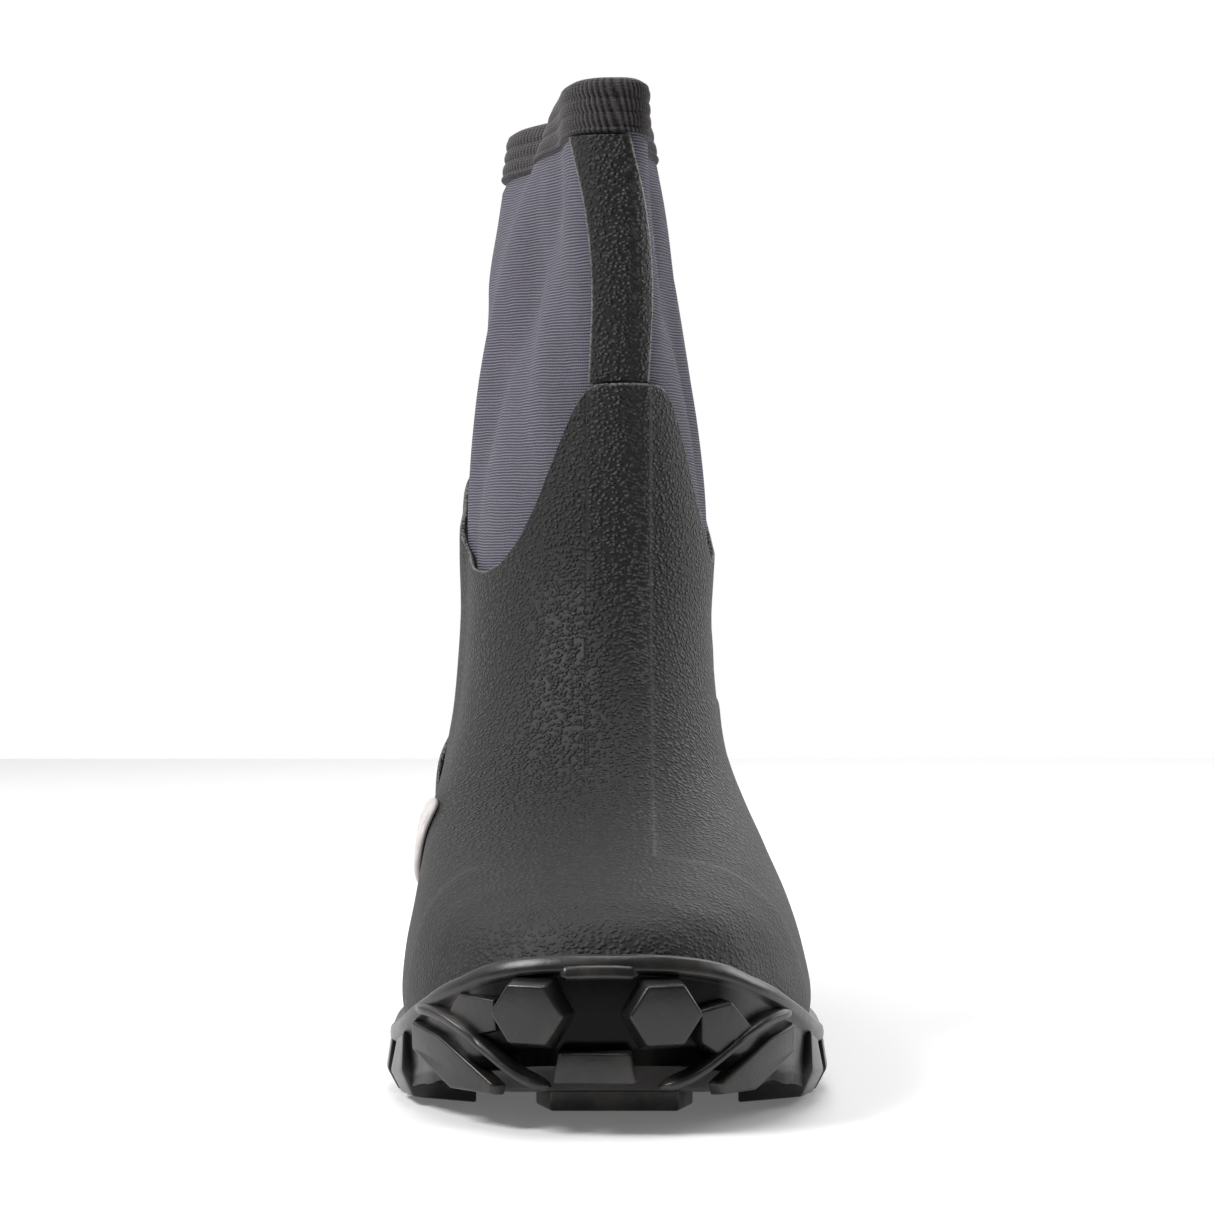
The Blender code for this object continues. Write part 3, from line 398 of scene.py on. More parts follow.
def node(tree, kind, values=None, links=None, **settings):
    made = tree.nodes.new(kind)
    for key, value in settings.items():
        setattr(made, key, value)
    for key, value in (values or {}).items():
        made.inputs[key].default_value = value
    for key, source in (links or {}).items():
        tree.links.new(source, made.inputs[key])
    return made


def place_nodes(tree):
    return node(tree, "ShaderNodeTexCoord").outputs["Object"]


def tinted(colour, share):
    """A colour made darker or lighter."""
    return tuple(min(1.0, part * share) for part in colour)


def math_node(tree, operation, a, b=None, c=None):
    made = tree.nodes.new("ShaderNodeMath")
    made.operation = operation
    for k, value in enumerate((a, b, c)):
        if value is None:
            continue
        if isinstance(value, (int, float)):
            made.inputs[k].default_value = value
        else:
            tree.links.new(value, made.inputs[k])
    return made.outputs[0]


def vector_node(tree, operation, a, b):
    values, links = ({1: b}, {0: a}) if isinstance(b, tuple) else (None, {0: a, 1: b})
    return node(tree, "ShaderNodeVectorMath", values, links, operation=operation).outputs[0]


def fade(tree, value, low, high, to_low=0.0, to_high=1.0):
    """A value spread smoothly from one range to another."""
    values = {"From Min": low, "From Max": high, "To Min": to_low, "To Max": to_high}
    made = node(tree, "ShaderNodeMapRange", values, {"Value": value}, interpolation_type="SMOOTHSTEP")
    return made.outputs["Result"]


def noise(tree, place, scale, detail=3.0, roughness=0.5):
    values = {"Scale": scale, "Detail": detail, "Roughness": roughness}
    return node(tree, "ShaderNodeTexNoise", values, {"Vector": place}).outputs["Fac"]


def mix_colour(tree, factor, a, b, blend_type="MIX"):
    made = tree.nodes.new("ShaderNodeMix")
    made.data_type = "RGBA"
    made.blend_type = blend_type
    for socket, value in ((made.inputs["Factor"], factor), (made.inputs[6], a), (made.inputs[7], b)):
        if isinstance(value, (int, float)):
            socket.default_value = value
        elif isinstance(value, tuple):
            socket.default_value = (*value, 1)
        else:
            tree.links.new(value, socket)
    return made.outputs[2]


def bump(tree, shader, height, distance, strength=1.0, under=None):
    links = {"Height": height}
    if under is not None:
        links["Normal"] = under
    made = node(tree, "ShaderNodeBump", {"Distance": distance, "Strength": strength}, links)
    tree.links.new(made.outputs["Normal"], shader.inputs["Normal"])
    return made.outputs["Normal"]


# %% [markdown]
# Jersey on foam rubber: a fine knit whose rows run round the leg, blue grey, matt, with a soft sheen. The
# photograph shows thin lighter lines about 0.8 mm apart and a slightly mottled dye.
# The lighter lines are painted: the crests of the knit rows get the lighter colour, a painted highlight.


# %% Jersey and lining
JERSEY_ROW = 0.00085
JERSEY_WALE = 0.0007


def jersey_material(name, colour, light):
    made, tree, shader = new_material(name, colour, 0.9, Sheen_Weight=0.12, Sheen_Roughness=0.45)
    shader.inputs["Sheen Tint"].default_value = (0.72, 0.72, 0.86, 1)
    shader.inputs["Specular IOR Level"].default_value = 0.25
    place = place_nodes(tree)
    parts = node(tree, "ShaderNodeSeparateXYZ", None, {"Vector": place})
    wobble = noise(tree, place, 90, 2)
    height = math_node(tree, "MULTIPLY_ADD", wobble, 0.0012, parts.outputs["Z"])
    rows = math_node(tree, "SINE", math_node(tree, "MULTIPLY", height, 2 * math.pi / JERSEY_ROW))
    uv = node(tree, "ShaderNodeSeparateXYZ", None, {"Vector": node(tree, "ShaderNodeUVMap").outputs["UV"]})
    wales = math_node(tree, "MULTIPLY", uv.outputs["X"], 2 * math.pi * round(0.30 / JERSEY_WALE))
    stitch = math_node(tree, "MULTIPLY", math_node(tree, "SINE", wales), 0.25)
    relief = math_node(tree, "ADD", rows, stitch)
    fluff = noise(tree, place, 1700, 3, 0.6)
    painted_row_highlight = fade(tree, relief, -1.1, 1.1)
    mottled = noise(tree, place, 260, 4, 0.6)
    shade = mix_colour(tree, fade(tree, mottled, 0.3, 0.7), tinted(colour, 0.86), tinted(colour, 1.12))
    # Painted highlight: the crests of the knit rows are mixed towards the lighter colour.
    shade = mix_colour(tree, math_node(tree, "MULTIPLY", painted_row_highlight, 0.70), shade, light)
    shade = mix_colour(tree, fade(tree, fluff, 0.62, 0.80, 0.0, 0.35), shade, tinted(light, 1.9))
    tree.links.new(shade, shader.inputs["Base Color"])
    deep = bump(tree, shader, relief, 0.00018, 1.0)
    bump(tree, shader, fluff, 0.00028, 0.9, deep)
    return made


jersey = jersey_material("jersey", (0.042, 0.039, 0.054), (0.270, 0.258, 0.312))
lining = jersey_material("lining", (0.018, 0.018, 0.020), (0.032, 0.032, 0.036))

# %% [markdown]
# Pebbled rubber: soft cells a little over a millimetre across, like leather. The grain is plain to see up
# the shin and the sides and washes out over the toe. Highlights sit on the cells, so both bump and gloss
# follow them, and the colour of each dome is painted much lighter, a painted highlight, with the borders
# between cells left dark as painted shade. The edges of the shin band and the toe cap are sharpened in the
# bump, with painted shade at their foot. A cut edge shows the paler, drier core of the rubber.


# %% Pebbled rubber
PEBBLE = 0.00135
EDGE_BLUR = 0.0005
CAP_SHARE = 0.795  # where the toe cap starts, from the heel
# the colour of the painted shade along the foot of the shin band's and toe cap's steps
STEP_SHADE_BLACK = (0.0008, 0.0008, 0.0008)


def pebbled_material(name, colour, toe_fade=True):
    made, tree, shader = new_material(name, colour, 0.5)
    shader.inputs["Specular IOR Level"].default_value = 0.45
    place = place_nodes(tree)
    parts = node(tree, "ShaderNodeSeparateXYZ", None, {"Vector": place})
    push = node(tree, "ShaderNodeTexNoise", {"Scale": 420.0, "Detail": 2.0}, {"Vector": place})
    shift = vector_node(tree, "MULTIPLY", push.outputs["Color"], (0.0009,) * 3)
    moved = vector_node(tree, "ADD", place, shift)
    squeeze = vector_node(tree, "MULTIPLY", moved, (1.0, 1.0, 1.25))
    cells = node(tree, "ShaderNodeTexVoronoi", {"Scale": 1 / PEBBLE, "Smoothness": 0.35}, {"Vector": squeeze},
                 feature="SMOOTH_F1").outputs["Distance"]  # fmt: skip
    domes = fade(tree, cells, 0.62, 0.12)
    fine = noise(tree, place, 2400, 3, 0.6)
    broad = noise(tree, place, 38, 3, 0.55)
    if toe_fade:
        grain = math_node(tree, "MULTIPLY", fade(tree, parts.outputs["Y"], -0.205, -0.130, 0.30, 1.0),
                          fade(tree, parts.outputs["Z"], 0.030, 0.075, 0.55, 1.0))  # fmt: skip
    else:
        grain = fade(tree, broad, 0.2, 0.8, 0.8, 1.0)
    domes_here = math_node(tree, "MULTIPLY", domes, grain)
    shade = mix_colour(tree, fade(tree, broad, 0.35, 0.65), tinted(colour, 0.86), tinted(colour, 1.15))
    # Painted highlight: each dome of the grain is painted much lighter; the borders between cells stay dark
    # as painted shade.
    shade = mix_colour(tree, math_node(tree, "MULTIPLY", domes_here, 0.8), shade, tinted(colour, 7.5))
    dusty = fade(tree, noise(tree, place, 520, 4, 0.7), 0.60, 0.78, 0.0, 0.22)
    shade = mix_colour(tree, dusty, shade, (0.16, 0.15, 0.15))
    edge = node(tree, "ShaderNodeAttribute", attribute_name="edge").outputs["Fac"]
    rim = fade(tree, edge, 0.00085, 0.00025)
    shade = mix_colour(tree, math_node(tree, "MULTIPLY", rim, 0.75), shade, (0.20, 0.195, 0.19))
    if toe_fade:
        from_middle = math_node(tree, "SUBTRACT", parts.outputs["X"], STRIP_LINE[0, 1] * SHAFT_WIDTH)
        aside = math_node(tree, "ABSOLUTE", from_middle)
        band = fade(tree, aside, BAND_WIDTH / 2 + EDGE_BLUR, BAND_WIDTH / 2 - EDGE_BLUR)
        in_front = fade(tree, parts.outputs["Y"], 0.0, -0.010)
        cap_at = HEEL_CENTRE - CAP_SHARE * SOLE_LENGTH
        cap = fade(tree, parts.outputs["Y"], cap_at + EDGE_BLUR, cap_at - EDGE_BLUR)
        layers = math_node(tree, "MAXIMUM", math_node(tree, "MULTIPLY", band, in_front), cap)
        # Painted shade: a dark line along the foot of the shin band's and the toe cap's steps.
        step_foot_shade = math_node(tree, "MULTIPLY", layers, math_node(tree, "SUBTRACT", 1.0, layers))
        shade = mix_colour(tree, math_node(tree, "MULTIPLY", step_foot_shade, 3.0), shade, STEP_SHADE_BLACK)
    tree.links.new(shade, shader.inputs["Base Color"])
    gloss = math_node(tree, "MULTIPLY_ADD", domes_here, -0.18, 0.54)
    tree.links.new(math_node(tree, "MULTIPLY_ADD", broad, 0.10, gloss), shader.inputs["Roughness"])
    deep = bump(tree, shader, domes_here, 0.00140, 1.0)
    deep = bump(tree, shader, fine, 0.00016, 0.7, deep)
    if toe_fade:
        bump(tree, shader, layers, 1.3 * STEP, 1.0, deep)
    return made


cover_rubber = pebbled_material("cover_rubber", (0.0056, 0.0052, 0.0053))
strip_rubber = pebbled_material("strip_rubber", (0.0040, 0.0038, 0.0039), toe_fade=False)

# %% [markdown]
# The outsole is moulded rubber, smoother and glossier, with a faint orange peel and some dust caught low
# down, and painted shade between the toe's lugs. The binding is a charcoal rib knit, with painted shade in
# the valleys between its ribs. The badge is a plain satin moulding with no mark on it.


# %% Sole, knit, badge and footbed
def sole_material():
    colour = (0.008, 0.0075, 0.0075)
    made, tree, shader = new_material("sole_rubber", colour, 0.36, Coat_Weight=0.08, Coat_Roughness=0.25)
    place = place_nodes(tree)
    parts = node(tree, "ShaderNodeSeparateXYZ", None, {"Vector": place})
    broad, fine = noise(tree, place, 60, 4, 0.6), noise(tree, place, 1500, 4, 0.6)
    low = fade(tree, parts.outputs["Z"], 0.016, 0.001)
    more_low_down = math_node(tree, "MULTIPLY_ADD", low, 0.40, 0.22)
    dust = math_node(tree, "MULTIPLY", fade(tree, broad, 0.42, 0.72), more_low_down)
    specks = fade(tree, noise(tree, place, 900, 2, 0.5), 0.70, 0.80, 0.0, 0.35)
    shade = mix_colour(tree, dust, colour, (0.095, 0.082, 0.074))
    shade = mix_colour(tree, specks, shade, (0.075, 0.070, 0.066))
    # Painted shade: the wall between the toe's lugs is darkened to near black and its specular lowered.
    recess_shade = node(tree, "ShaderNodeAttribute", attribute_name="deep").outputs["Fac"]
    shade = mix_colour(tree, math_node(tree, "MULTIPLY", recess_shade, 0.9), shade, (0.0004, 0.0004, 0.0004))
    tree.links.new(math_node(tree, "MULTIPLY_ADD", recess_shade, -0.42, 0.5), shader.inputs["Specular IOR Level"])
    tree.links.new(shade, shader.inputs["Base Color"])
    tree.links.new(math_node(tree, "MULTIPLY_ADD", broad, 0.26, 0.22), shader.inputs["Roughness"])
    deep = bump(tree, shader, noise(tree, place, 170, 3, 0.5), 0.00035, 0.5)
    bump(tree, shader, fine, 0.00008, 0.6, deep)
    return made


def knit_material():
    colour = (0.036, 0.032, 0.036)
    made, tree, shader = new_material("rib_knit", colour, 0.85, Sheen_Weight=0.25, Sheen_Roughness=0.5)
    shader.inputs["Specular IOR Level"].default_value = 0.2
    place = place_nodes(tree)
    rib = node(tree, "ShaderNodeAttribute", attribute_name="rib").outputs["Fac"]
    yarn = node(tree, "ShaderNodeSeparateXYZ", None, {"Vector": place}).outputs["Z"]
    loops = math_node(tree, "SINE", math_node(tree, "MULTIPLY", yarn, 2 * math.pi / 0.0009))
    fluff = noise(tree, place, 1500, 4, 0.65)
    # Painted shade: the valleys between the ribs are painted dark and their crests lighter.
    shade = mix_colour(tree, fade(tree, rib, 0.0, 1.0), (0.008, 0.007, 0.008), (0.052, 0.046, 0.050))
    shade = mix_colour(tree, fade(tree, fluff, 0.45, 0.75, 0.0, 0.45), shade, (0.115, 0.105, 0.110))
    tree.links.new(shade, shader.inputs["Base Color"])
    deep = bump(tree, shader, math_node(tree, "MULTIPLY", loops, rib), 0.00012, 0.7)
    bump(tree, shader, fluff, 0.00022, 0.7, deep)
    return made


def smooth_material(name, colour, roughness, scale, depth):
    made, tree, shader = new_material(name, colour, roughness)
    place = place_nodes(tree)
    cloud = noise(tree, place, scale, 4, 0.6)
    shade = mix_colour(tree, fade(tree, cloud, 0.3, 0.7), tinted(colour, 0.85), tinted(colour, 1.12))
    tree.links.new(shade, shader.inputs["Base Color"])
    tree.links.new(math_node(tree, "MULTIPLY_ADD", cloud, 0.15, roughness - 0.07), shader.inputs["Roughness"])
    bump(tree, shader, noise(tree, place, scale * 8, 3, 0.6), depth, 0.5)
    return made


sole_rubber = sole_material()
rib_knit = knit_material()
badge_plastic = smooth_material("badge_plastic", (0.60, 0.56, 0.55), 0.32, 120, 0.00005)
footbed_felt = smooth_material("footbed_felt", (0.055, 0.055, 0.060), 0.92, 220, 0.0004)


def dress(piece, material, node_name):
    """Gives a piece its finish and makes it stand for its solid."""
    piece.data.materials.append(material)
    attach(piece, "root")
    if node_name:
        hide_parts(node_name)
    return piece


# %% [markdown]
# ## The shaft and bootie
# The upper is one soft hollow form. Its outer face is wrapped from the seat of the sole to the collar,
# pushed in and out by the creases, squeezed where the binding holds it, and given its 5 mm wall inwards,
# with the lining inside.


# %% Upper
def upper_place(share, up):
    turn, level = turn_at(share), TOP * (0.35 * up + 0.65 * up**0.8)
    points = form(level, turn)
    top = form(float(TOP), turn)[..., 2]
    drop = top - points[..., 2]
    squeezed = ease((BINDING_HEIGHT + 0.0012 - drop) / 0.0010)
    free = ease((drop - BINDING_HEIGHT) / 0.010) * ease((points[..., 2] - 0.50 * BOOT_HEIGHT) / 0.02)
    return layer(level, turn, crease_height(points) * free - BINDING * squeezed)


upper = wrap("foam_upper", 200, 130, upper_place)
outward_check(upper, (0, 0.0, 0.15))
wall = upper.modifiers.new("wall", "SOLIDIFY")
wall.thickness, wall.offset, wall.material_offset = NEOPRENE, -1, 1
dress(upper, jersey, "upper")
upper.data.materials.append(lining)

# %% [markdown]
# ## The rubber cover
# The cover is the lower part of the same form, a little further out. Its top edge is a curve drawn as
# heights round the shaft: a tongue on the shin, a dip at each side and a rise to the back. Where the toe
# cap and the shin band lie under it, it stands out by a soft step.

# %% The cover's top edge
COVER_EDGE = np.array((
    (0.0, 0.687), (9.0, 0.686), (13.0, 0.676), (16.0, 0.650), (19.0, 0.608), (23.0, 0.562),
    (29.0, 0.524), (36.0, 0.502), (46.0, 0.492), (62.0, 0.496), (90.0, 0.520), (118.0, 0.560),
    (140.0, 0.600), (154.0, 0.628), (163.0, 0.640), (180.0, 0.642),
))  # fmt: skip
TOE_CAP_EDGE = np.array(((0.76, 0.00), (0.79, 0.30), (0.80, 0.45), (0.79, 1.00)))


def cover_top(turn):
    angle = np.abs(bearing(form(float(ANKLE + 2), turn)))
    return softened(COVER_EDGE, 1.6, angle) * BOOT_HEIGHT


def steps_out(points):
    """How far the layers under the cover push it out."""
    length, up = HEEL_CENTRE - points[..., 1], points[..., 2]
    cap_from = np.interp(up / ANKLE_HEIGHT, TOE_CAP_EDGE[:, 1], TOE_CAP_EDGE[:, 0]) * SOLE_LENGTH
    cap = ease((length - cap_from) / 0.0022 + 0.5)
    middle = softened(STRIP_LINE, 0.02, up / BOOT_HEIGHT) * SHAFT_WIDTH
    band = ease((BAND_WIDTH / 2 - np.abs(points[..., 0] - middle)) / 0.0016 + 0.5)
    band = band * (points[..., 1] < shaft_middle()[1])
    return STEP * np.maximum(cap, 0.8 * band)


# %% Cover
def cover_place(share, up):
    turn = turn_at(share)
    top = level_at(turn, cover_top(turn), COVER_OUTSIDE)
    rows = 1 - (1 - up) ** 1.15
    level = blend(np.full(top.shape, 0.25), top, rows)
    points = layer(level, turn, np.full(level.shape, COVER_OUTSIDE))
    near_edge = np.clip((cover_top(turn) - points[..., 2]) / 0.0009, 0, 1)
    return layer(level, turn, COVER_OUTSIDE + steps_out(points) - 0.0006 * (1 - near_edge) ** 2)


def cover_marks(share, up, points):
    return {"edge": np.where(up > 0.5, cover_top(turn_at(share)) - points[..., 2], 1.0)}


cover = wrap("rubber_cover_skin", 232, 150, cover_place, marks=cover_marks)
outward_check(cover, (0, -0.06, 0.08))
wall = cover.modifiers.new("wall", "SOLIDIFY")
wall.thickness, wall.offset = RUBBER, -1
dress(cover, cover_rubber, "rubber_cover")

# %% [markdown]
# ## Counter, strip and badge
# The counter is a second layer round the heel whose front edge shows as a dark line. The strip runs up the
# shin from the cover to the binding. The badge is a low blank dome on the outer side of the foot.

# %% Counter
COUNTER_EDGE = np.array((  # share of SOLE_LENGTH, share of ANKLE_HEIGHT
    (-0.10, 0.87), (0.140, 0.86), (0.280, 0.80), (0.390, 0.69), (0.480, 0.53), (0.560, 0.34), (0.620, 0.10),
))  # fmt: skip


def counter_heights(turn):
    length = HEEL_CENTRE - form(2.0, turn)[..., 1]
    high = softened(COUNTER_EDGE, 0.02, length / SOLE_LENGTH) * ANKLE_HEIGHT
    return sole_line(length, "rim") + 3 * GAP, high


scan = np.linspace(0, math.pi, 721)
low_line, high_line = counter_heights(scan)
counter_reach = scan[np.argmax(high_line < low_line + 0.002)]


def counter_place(share, up):
    turn = (2 * share - 1) * counter_reach
    low, high = counter_heights(turn)
    height = blend(low, np.maximum(high, low + 0.0015), up)
    edge = np.minimum(high - height, (1 - np.abs(2 * share - 1)) * counter_reach * 0.1)
    offset = COVER_OUTSIDE + GAP + COUNTER - 0.0006 * (1 - np.clip(edge / 0.0012, 0, 1)) ** 2
    return layer(level_at(turn, height, COVER_OUTSIDE + GAP + COUNTER), turn, offset)


def counter_marks(share, up, points):
    low, high = counter_heights((2 * share - 1) * counter_reach)
    return {"edge": np.maximum(high - points[..., 2], 0.0)}


counter = wrap("heel_counter_skin", 150, 60, counter_place, marks=counter_marks)
outward_check(counter, (0, -0.02, 0.05))
wall = counter.modifiers.new("wall", "SOLIDIFY")
wall.thickness, wall.offset = COUNTER, -1
dress(counter, cover_rubber, "heel_counter")


# %% Strip up the shin
def front_turn(x, height, offset=0.0):
    """The turn at which the front of the boot lies at x, at a height."""
    low, high = np.full(x.shape, math.pi * 0.55), np.full(x.shape, math.pi * 1.45)
    for _ in range(16):
        middle = (low + high) / 2
        beyond = form(level_at(middle, height), middle)[..., 0] > x
        low, high = np.where(beyond, middle, low), np.where(beyond, high, middle)
    return (low + high) / 2


strip_bottom = COVER_EDGE[0, 1] * BOOT_HEIGHT + GAP
strip_top = BOOT_HEIGHT - BINDING - BINDING_HEIGHT - 3 * GAP


def strip_place(share, up):
    height = blend(strip_bottom, strip_top, up)
    side = 2 * share - 1
    middle = softened(STRIP_LINE, 0.02, height / BOOT_HEIGHT) * SHAFT_WIDTH
    turn = front_turn(middle + side * STRIP_WIDTH / 2, height)
    points = form(level_at(turn, height), turn)
    free = ease((form(float(TOP), turn)[..., 2] - height - BINDING_HEIGHT) / 0.010)
    crown = STRIP * (1 - 0.45 * np.abs(side) ** 10)
    return layer(level_at(turn, height), turn, GAP + crown + crease_height(points) * free)


def strip_marks(share, up, points):
    return {"edge": np.clip((1 - np.abs(2 * share - 1)) * STRIP_WIDTH / 2, 0, 1)}


strip = wrap("shin_strip_skin", 28, 90, strip_place, marks=strip_marks)
outward_check(strip, (0, -0.02, 0.22))
wall = strip.modifiers.new("wall", "SOLIDIFY")
wall.thickness, wall.offset = STRIP, -1
dress(strip, strip_rubber, "shin_strip")

# %% Badge
BADGE_PLACE = (0.562 * SOLE_LENGTH, 0.515 * ANKLE_HEIGHT)
BADGE_LENGTH, BADGE_HEIGHT = 0.036, 0.024
BADGE_DOME = (  # shares of the half length outward and of the badge's thickness up
    (0.0, 0.0), (0.55, 0.0), (0.93, 0.0), (1.0, 0.06), (1.0, 0.45), (0.96, 0.66), (0.86, 0.82), (0.6, 0.94),
    (0.3, 0.99), (0.0, 1.0),
)  # fmt: skip


def outer_turn(length, height, offset):
    """The turn on the outer side at which a layer lies at a distance from the heel and a height."""
    low, high = np.full(length.shape, 2 * math.pi), np.full(length.shape, math.pi)
    for _ in range(16):
        middle = (low + high) / 2
        behind = HEEL_CENTRE - layer(level_at(middle, height, offset), middle, offset)[..., 1] < length
        low, high = np.where(behind, middle, low), np.where(behind, high, middle)
    return (low + high) / 2


def build_badge():
    bm = bmesh.new()
    verts = [bm.verts.new((radius, 0, rise)) for radius, rise in BADGE_DOME]
    edges = [bm.edges.new(pair) for pair in zip(verts, verts[1:])]
    whole_turn = 2 * math.pi
    bmesh.ops.spin(bm, geom=verts + edges, cent=(0, 0, 0), axis=(0, 0, 1), angle=whole_turn, steps=56,
                   use_merge=True)  # fmt: skip
    bmesh.ops.remove_doubles(bm, verts=bm.verts, dist=0.0001)
    places = np.array([vert.co for vert in bm.verts])
    inside = COVER_OUTSIDE + GAP
    length = BADGE_PLACE[0] + places[:, 0] * BADGE_LENGTH / 2
    height = BADGE_PLACE[1] + places[:, 1] * BADGE_HEIGHT / 2
    turn = outer_turn(length, height, inside)
    points = layer(level_at(turn, height, inside), turn, inside + places[:, 2] * BADGE)
    for vert, point in zip(bm.verts, points):
        vert.co = point
    bmesh.ops.recalc_face_normals(bm, faces=bm.faces)
    return finish_piece("side_badge_skin", bm)


badge = dress(build_badge(), badge_plastic, "side_badge")

# %% [markdown]
# ## The collar binding
# The binding is a folded band of rib knit: a thin edge, three soft rolls outside, and a plain face inside.
# Its ribs are real relief, so they show on the outline. The grid is closed both ways, which makes a ring.

# %% Binding
RIBS = 176
RIB_DEPTH = 0.00028
ROLLS = (0.0, 0.13, 0.43, 0.72, 1.0)


def binding_profile():
    """Offset from the face and drop below the collar's edge, round the folded band."""
    line = [(-BINDING + GAP, 1.0)]
    for low, high in zip(ROLLS, ROLLS[1:]):
        for t in (0.0, 0.16, 0.34, 0.5, 0.66, 0.84):
            bulge = math.sin(math.pi * t) ** 0.6 if t else 0.0
            line.append((BINDING_ROLL * (0.1 + 0.9 * bulge), 1 - blend(low, high, t)))
    over, inner = BINDING / BINDING_HEIGHT, -NEOPRENE - GAP
    line += [(0.0003, 0.0), (-BINDING * 0.45, -over * 0.55), (-BINDING, -over * 0.85), (inner / 2, -over)]
    line += [(inner, -over * 0.85), (inner - BINDING * 0.6, -over * 0.5), (inner - BINDING, 0.0)]
    line += [(inner - BINDING, 0.33), (inner - BINDING, 0.66), (inner - BINDING, 1.0)]
    line += [(inner, 1.0), (inner, 0.5)]
    line += [(inner, 0.0), (-BINDING + GAP, 0.0), (-BINDING + GAP, 0.5), (-BINDING + GAP, 1.0)]
    return np.array(line)


PROFILE = binding_profile()


def binding_place(share, up):
    k = np.rint(up * (len(PROFILE) - 1)).astype(int)
    offset, drop = PROFILE[k, 0], PROFILE[k, 1]
    slant = 0.010 * np.maximum(drop, 0)
    turn = turn_at(share)
    outer = (offset > -0.0003) & (k > 0) & (k < len(PROFILE) - 8)
    offset = offset + np.where(outer, RIB_DEPTH * np.cos(2 * math.pi * RIBS * (share + slant)), 0)
    height = form(float(TOP), turn)[..., 2] - np.maximum(drop, 0) * BINDING_HEIGHT
    points = layer(level_at(turn, height), turn, offset)
    points[..., 2] = height + np.maximum(-drop, 0) * BINDING_HEIGHT + np.where(drop <= 0, GAP, 0)
    return points


def binding_marks(share, up, points):
    drop = np.maximum(PROFILE[np.rint(up * (len(PROFILE) - 1)).astype(int), 1], 0)
    return {"rib": 0.5 + 0.5 * np.cos(2 * math.pi * RIBS * (share + 0.010 * drop))}


binding = wrap("rib_binding", RIBS * 5, len(PROFILE) - 1, binding_place, marks=binding_marks, merge=0.00001)
dress(binding, rib_knit, "collar_binding")

# %% [markdown]
# ## The outsole
# The sole's body is one ring-shaped grid: from the middle of the tray up its inner wall, over the rim, down
# the outer wall with its thicker band, and in under the foot to the middle line, where both halves meet.


# %% Body of the sole
def sole_offset(turn):
    length = HEEL_CENTRE - form(1.0, turn)[..., 1]
    cap = TOE_CAP_EDGE[:, 0].min() * SOLE_LENGTH
    return COVER_OUTSIDE + 2.6 * GAP + STEP * ease((length - cap) / (0.1 * BALL_WIDTH) + 1.5)


def sole_outline(turn):
    away = outward(np.full(turn.shape, 0.5), turn)
    away[..., 2] = 0
    away /= np.linalg.norm(away, axis=-1, keepdims=True)
    return layer(np.full(turn.shape, 0.5), turn, 0.0) + away * (sole_offset(turn) + RIM)[..., None], away


def edge_height(turn, column):
    return sole_line(HEEL_CENTRE - sole_outline(turn)[0][..., 1], column)


def wall_point(turn, height, spread):
    """Points on the sole's side, spread out from its plain wall, which is upright below the bootie."""
    offset = sole_offset(turn) + RIM + spread
    level = level_at(turn, height, offset)
    high = layer(level, turn, offset)
    outline, away = sole_outline(turn)
    low = outline + away * np.broadcast_to(spread, turn.shape)[..., None]
    low[..., 2] = height
    return np.where((level > 0.5)[..., None], high, low)


def under_point(turn, inset, lift):
    outline, away = sole_outline(turn)
    points = outline - away * np.broadcast_to(inset, turn.shape)[..., None]
    edge = edge_height(turn, "edge")
    tread = sole_line(HEEL_CENTRE - points[..., 1], "tread")
    points[..., 2] = blend(edge, tread, ease(inset / ROUNDING)) + lift
    return points


TOE_DEPTH = 0.0012


def toe_recess(turn):
    """How much deeper the wall lies between the sweeping ribs of the toe."""
    x = sole_outline(turn)[0]
    return TOE_DEPTH * ease((0.0330 - np.abs(x[..., 0] - 0.0005)) / 0.004) * ease((-0.21 - x[..., 1]) / 0.01)


recess = RIM_BAND + RECESS
WALL = (  # part of the way up from edge to rim, drop in metres, spread in metres
    (1.0, 0.0, -0.0002), (1.0, 0.0006, 0.0002), (1.0, 0.0020, 0.0005), (1.0, RIM_BAND - 0.0006, 0.0004),
    (1.0, RIM_BAND, 0.0000), (1.0, recess - 0.0003, -RECESS * 0.8), (1.0, recess + 0.0006, -RECESS),
    (0.60, 0.002, -RECESS), (0.35, 0.0, -RECESS), (0.12, 0.0, -RECESS),
    (0.0, -1.4 * LUG_DEPTH, -RECESS * 1.1),
    (0.0, -1.15 * LUG_DEPTH, -0.0021), (0.0, -LUG_DEPTH, -0.0035),
)  # fmt: skip
BODY_ROWS = 4 + len(WALL) + 5


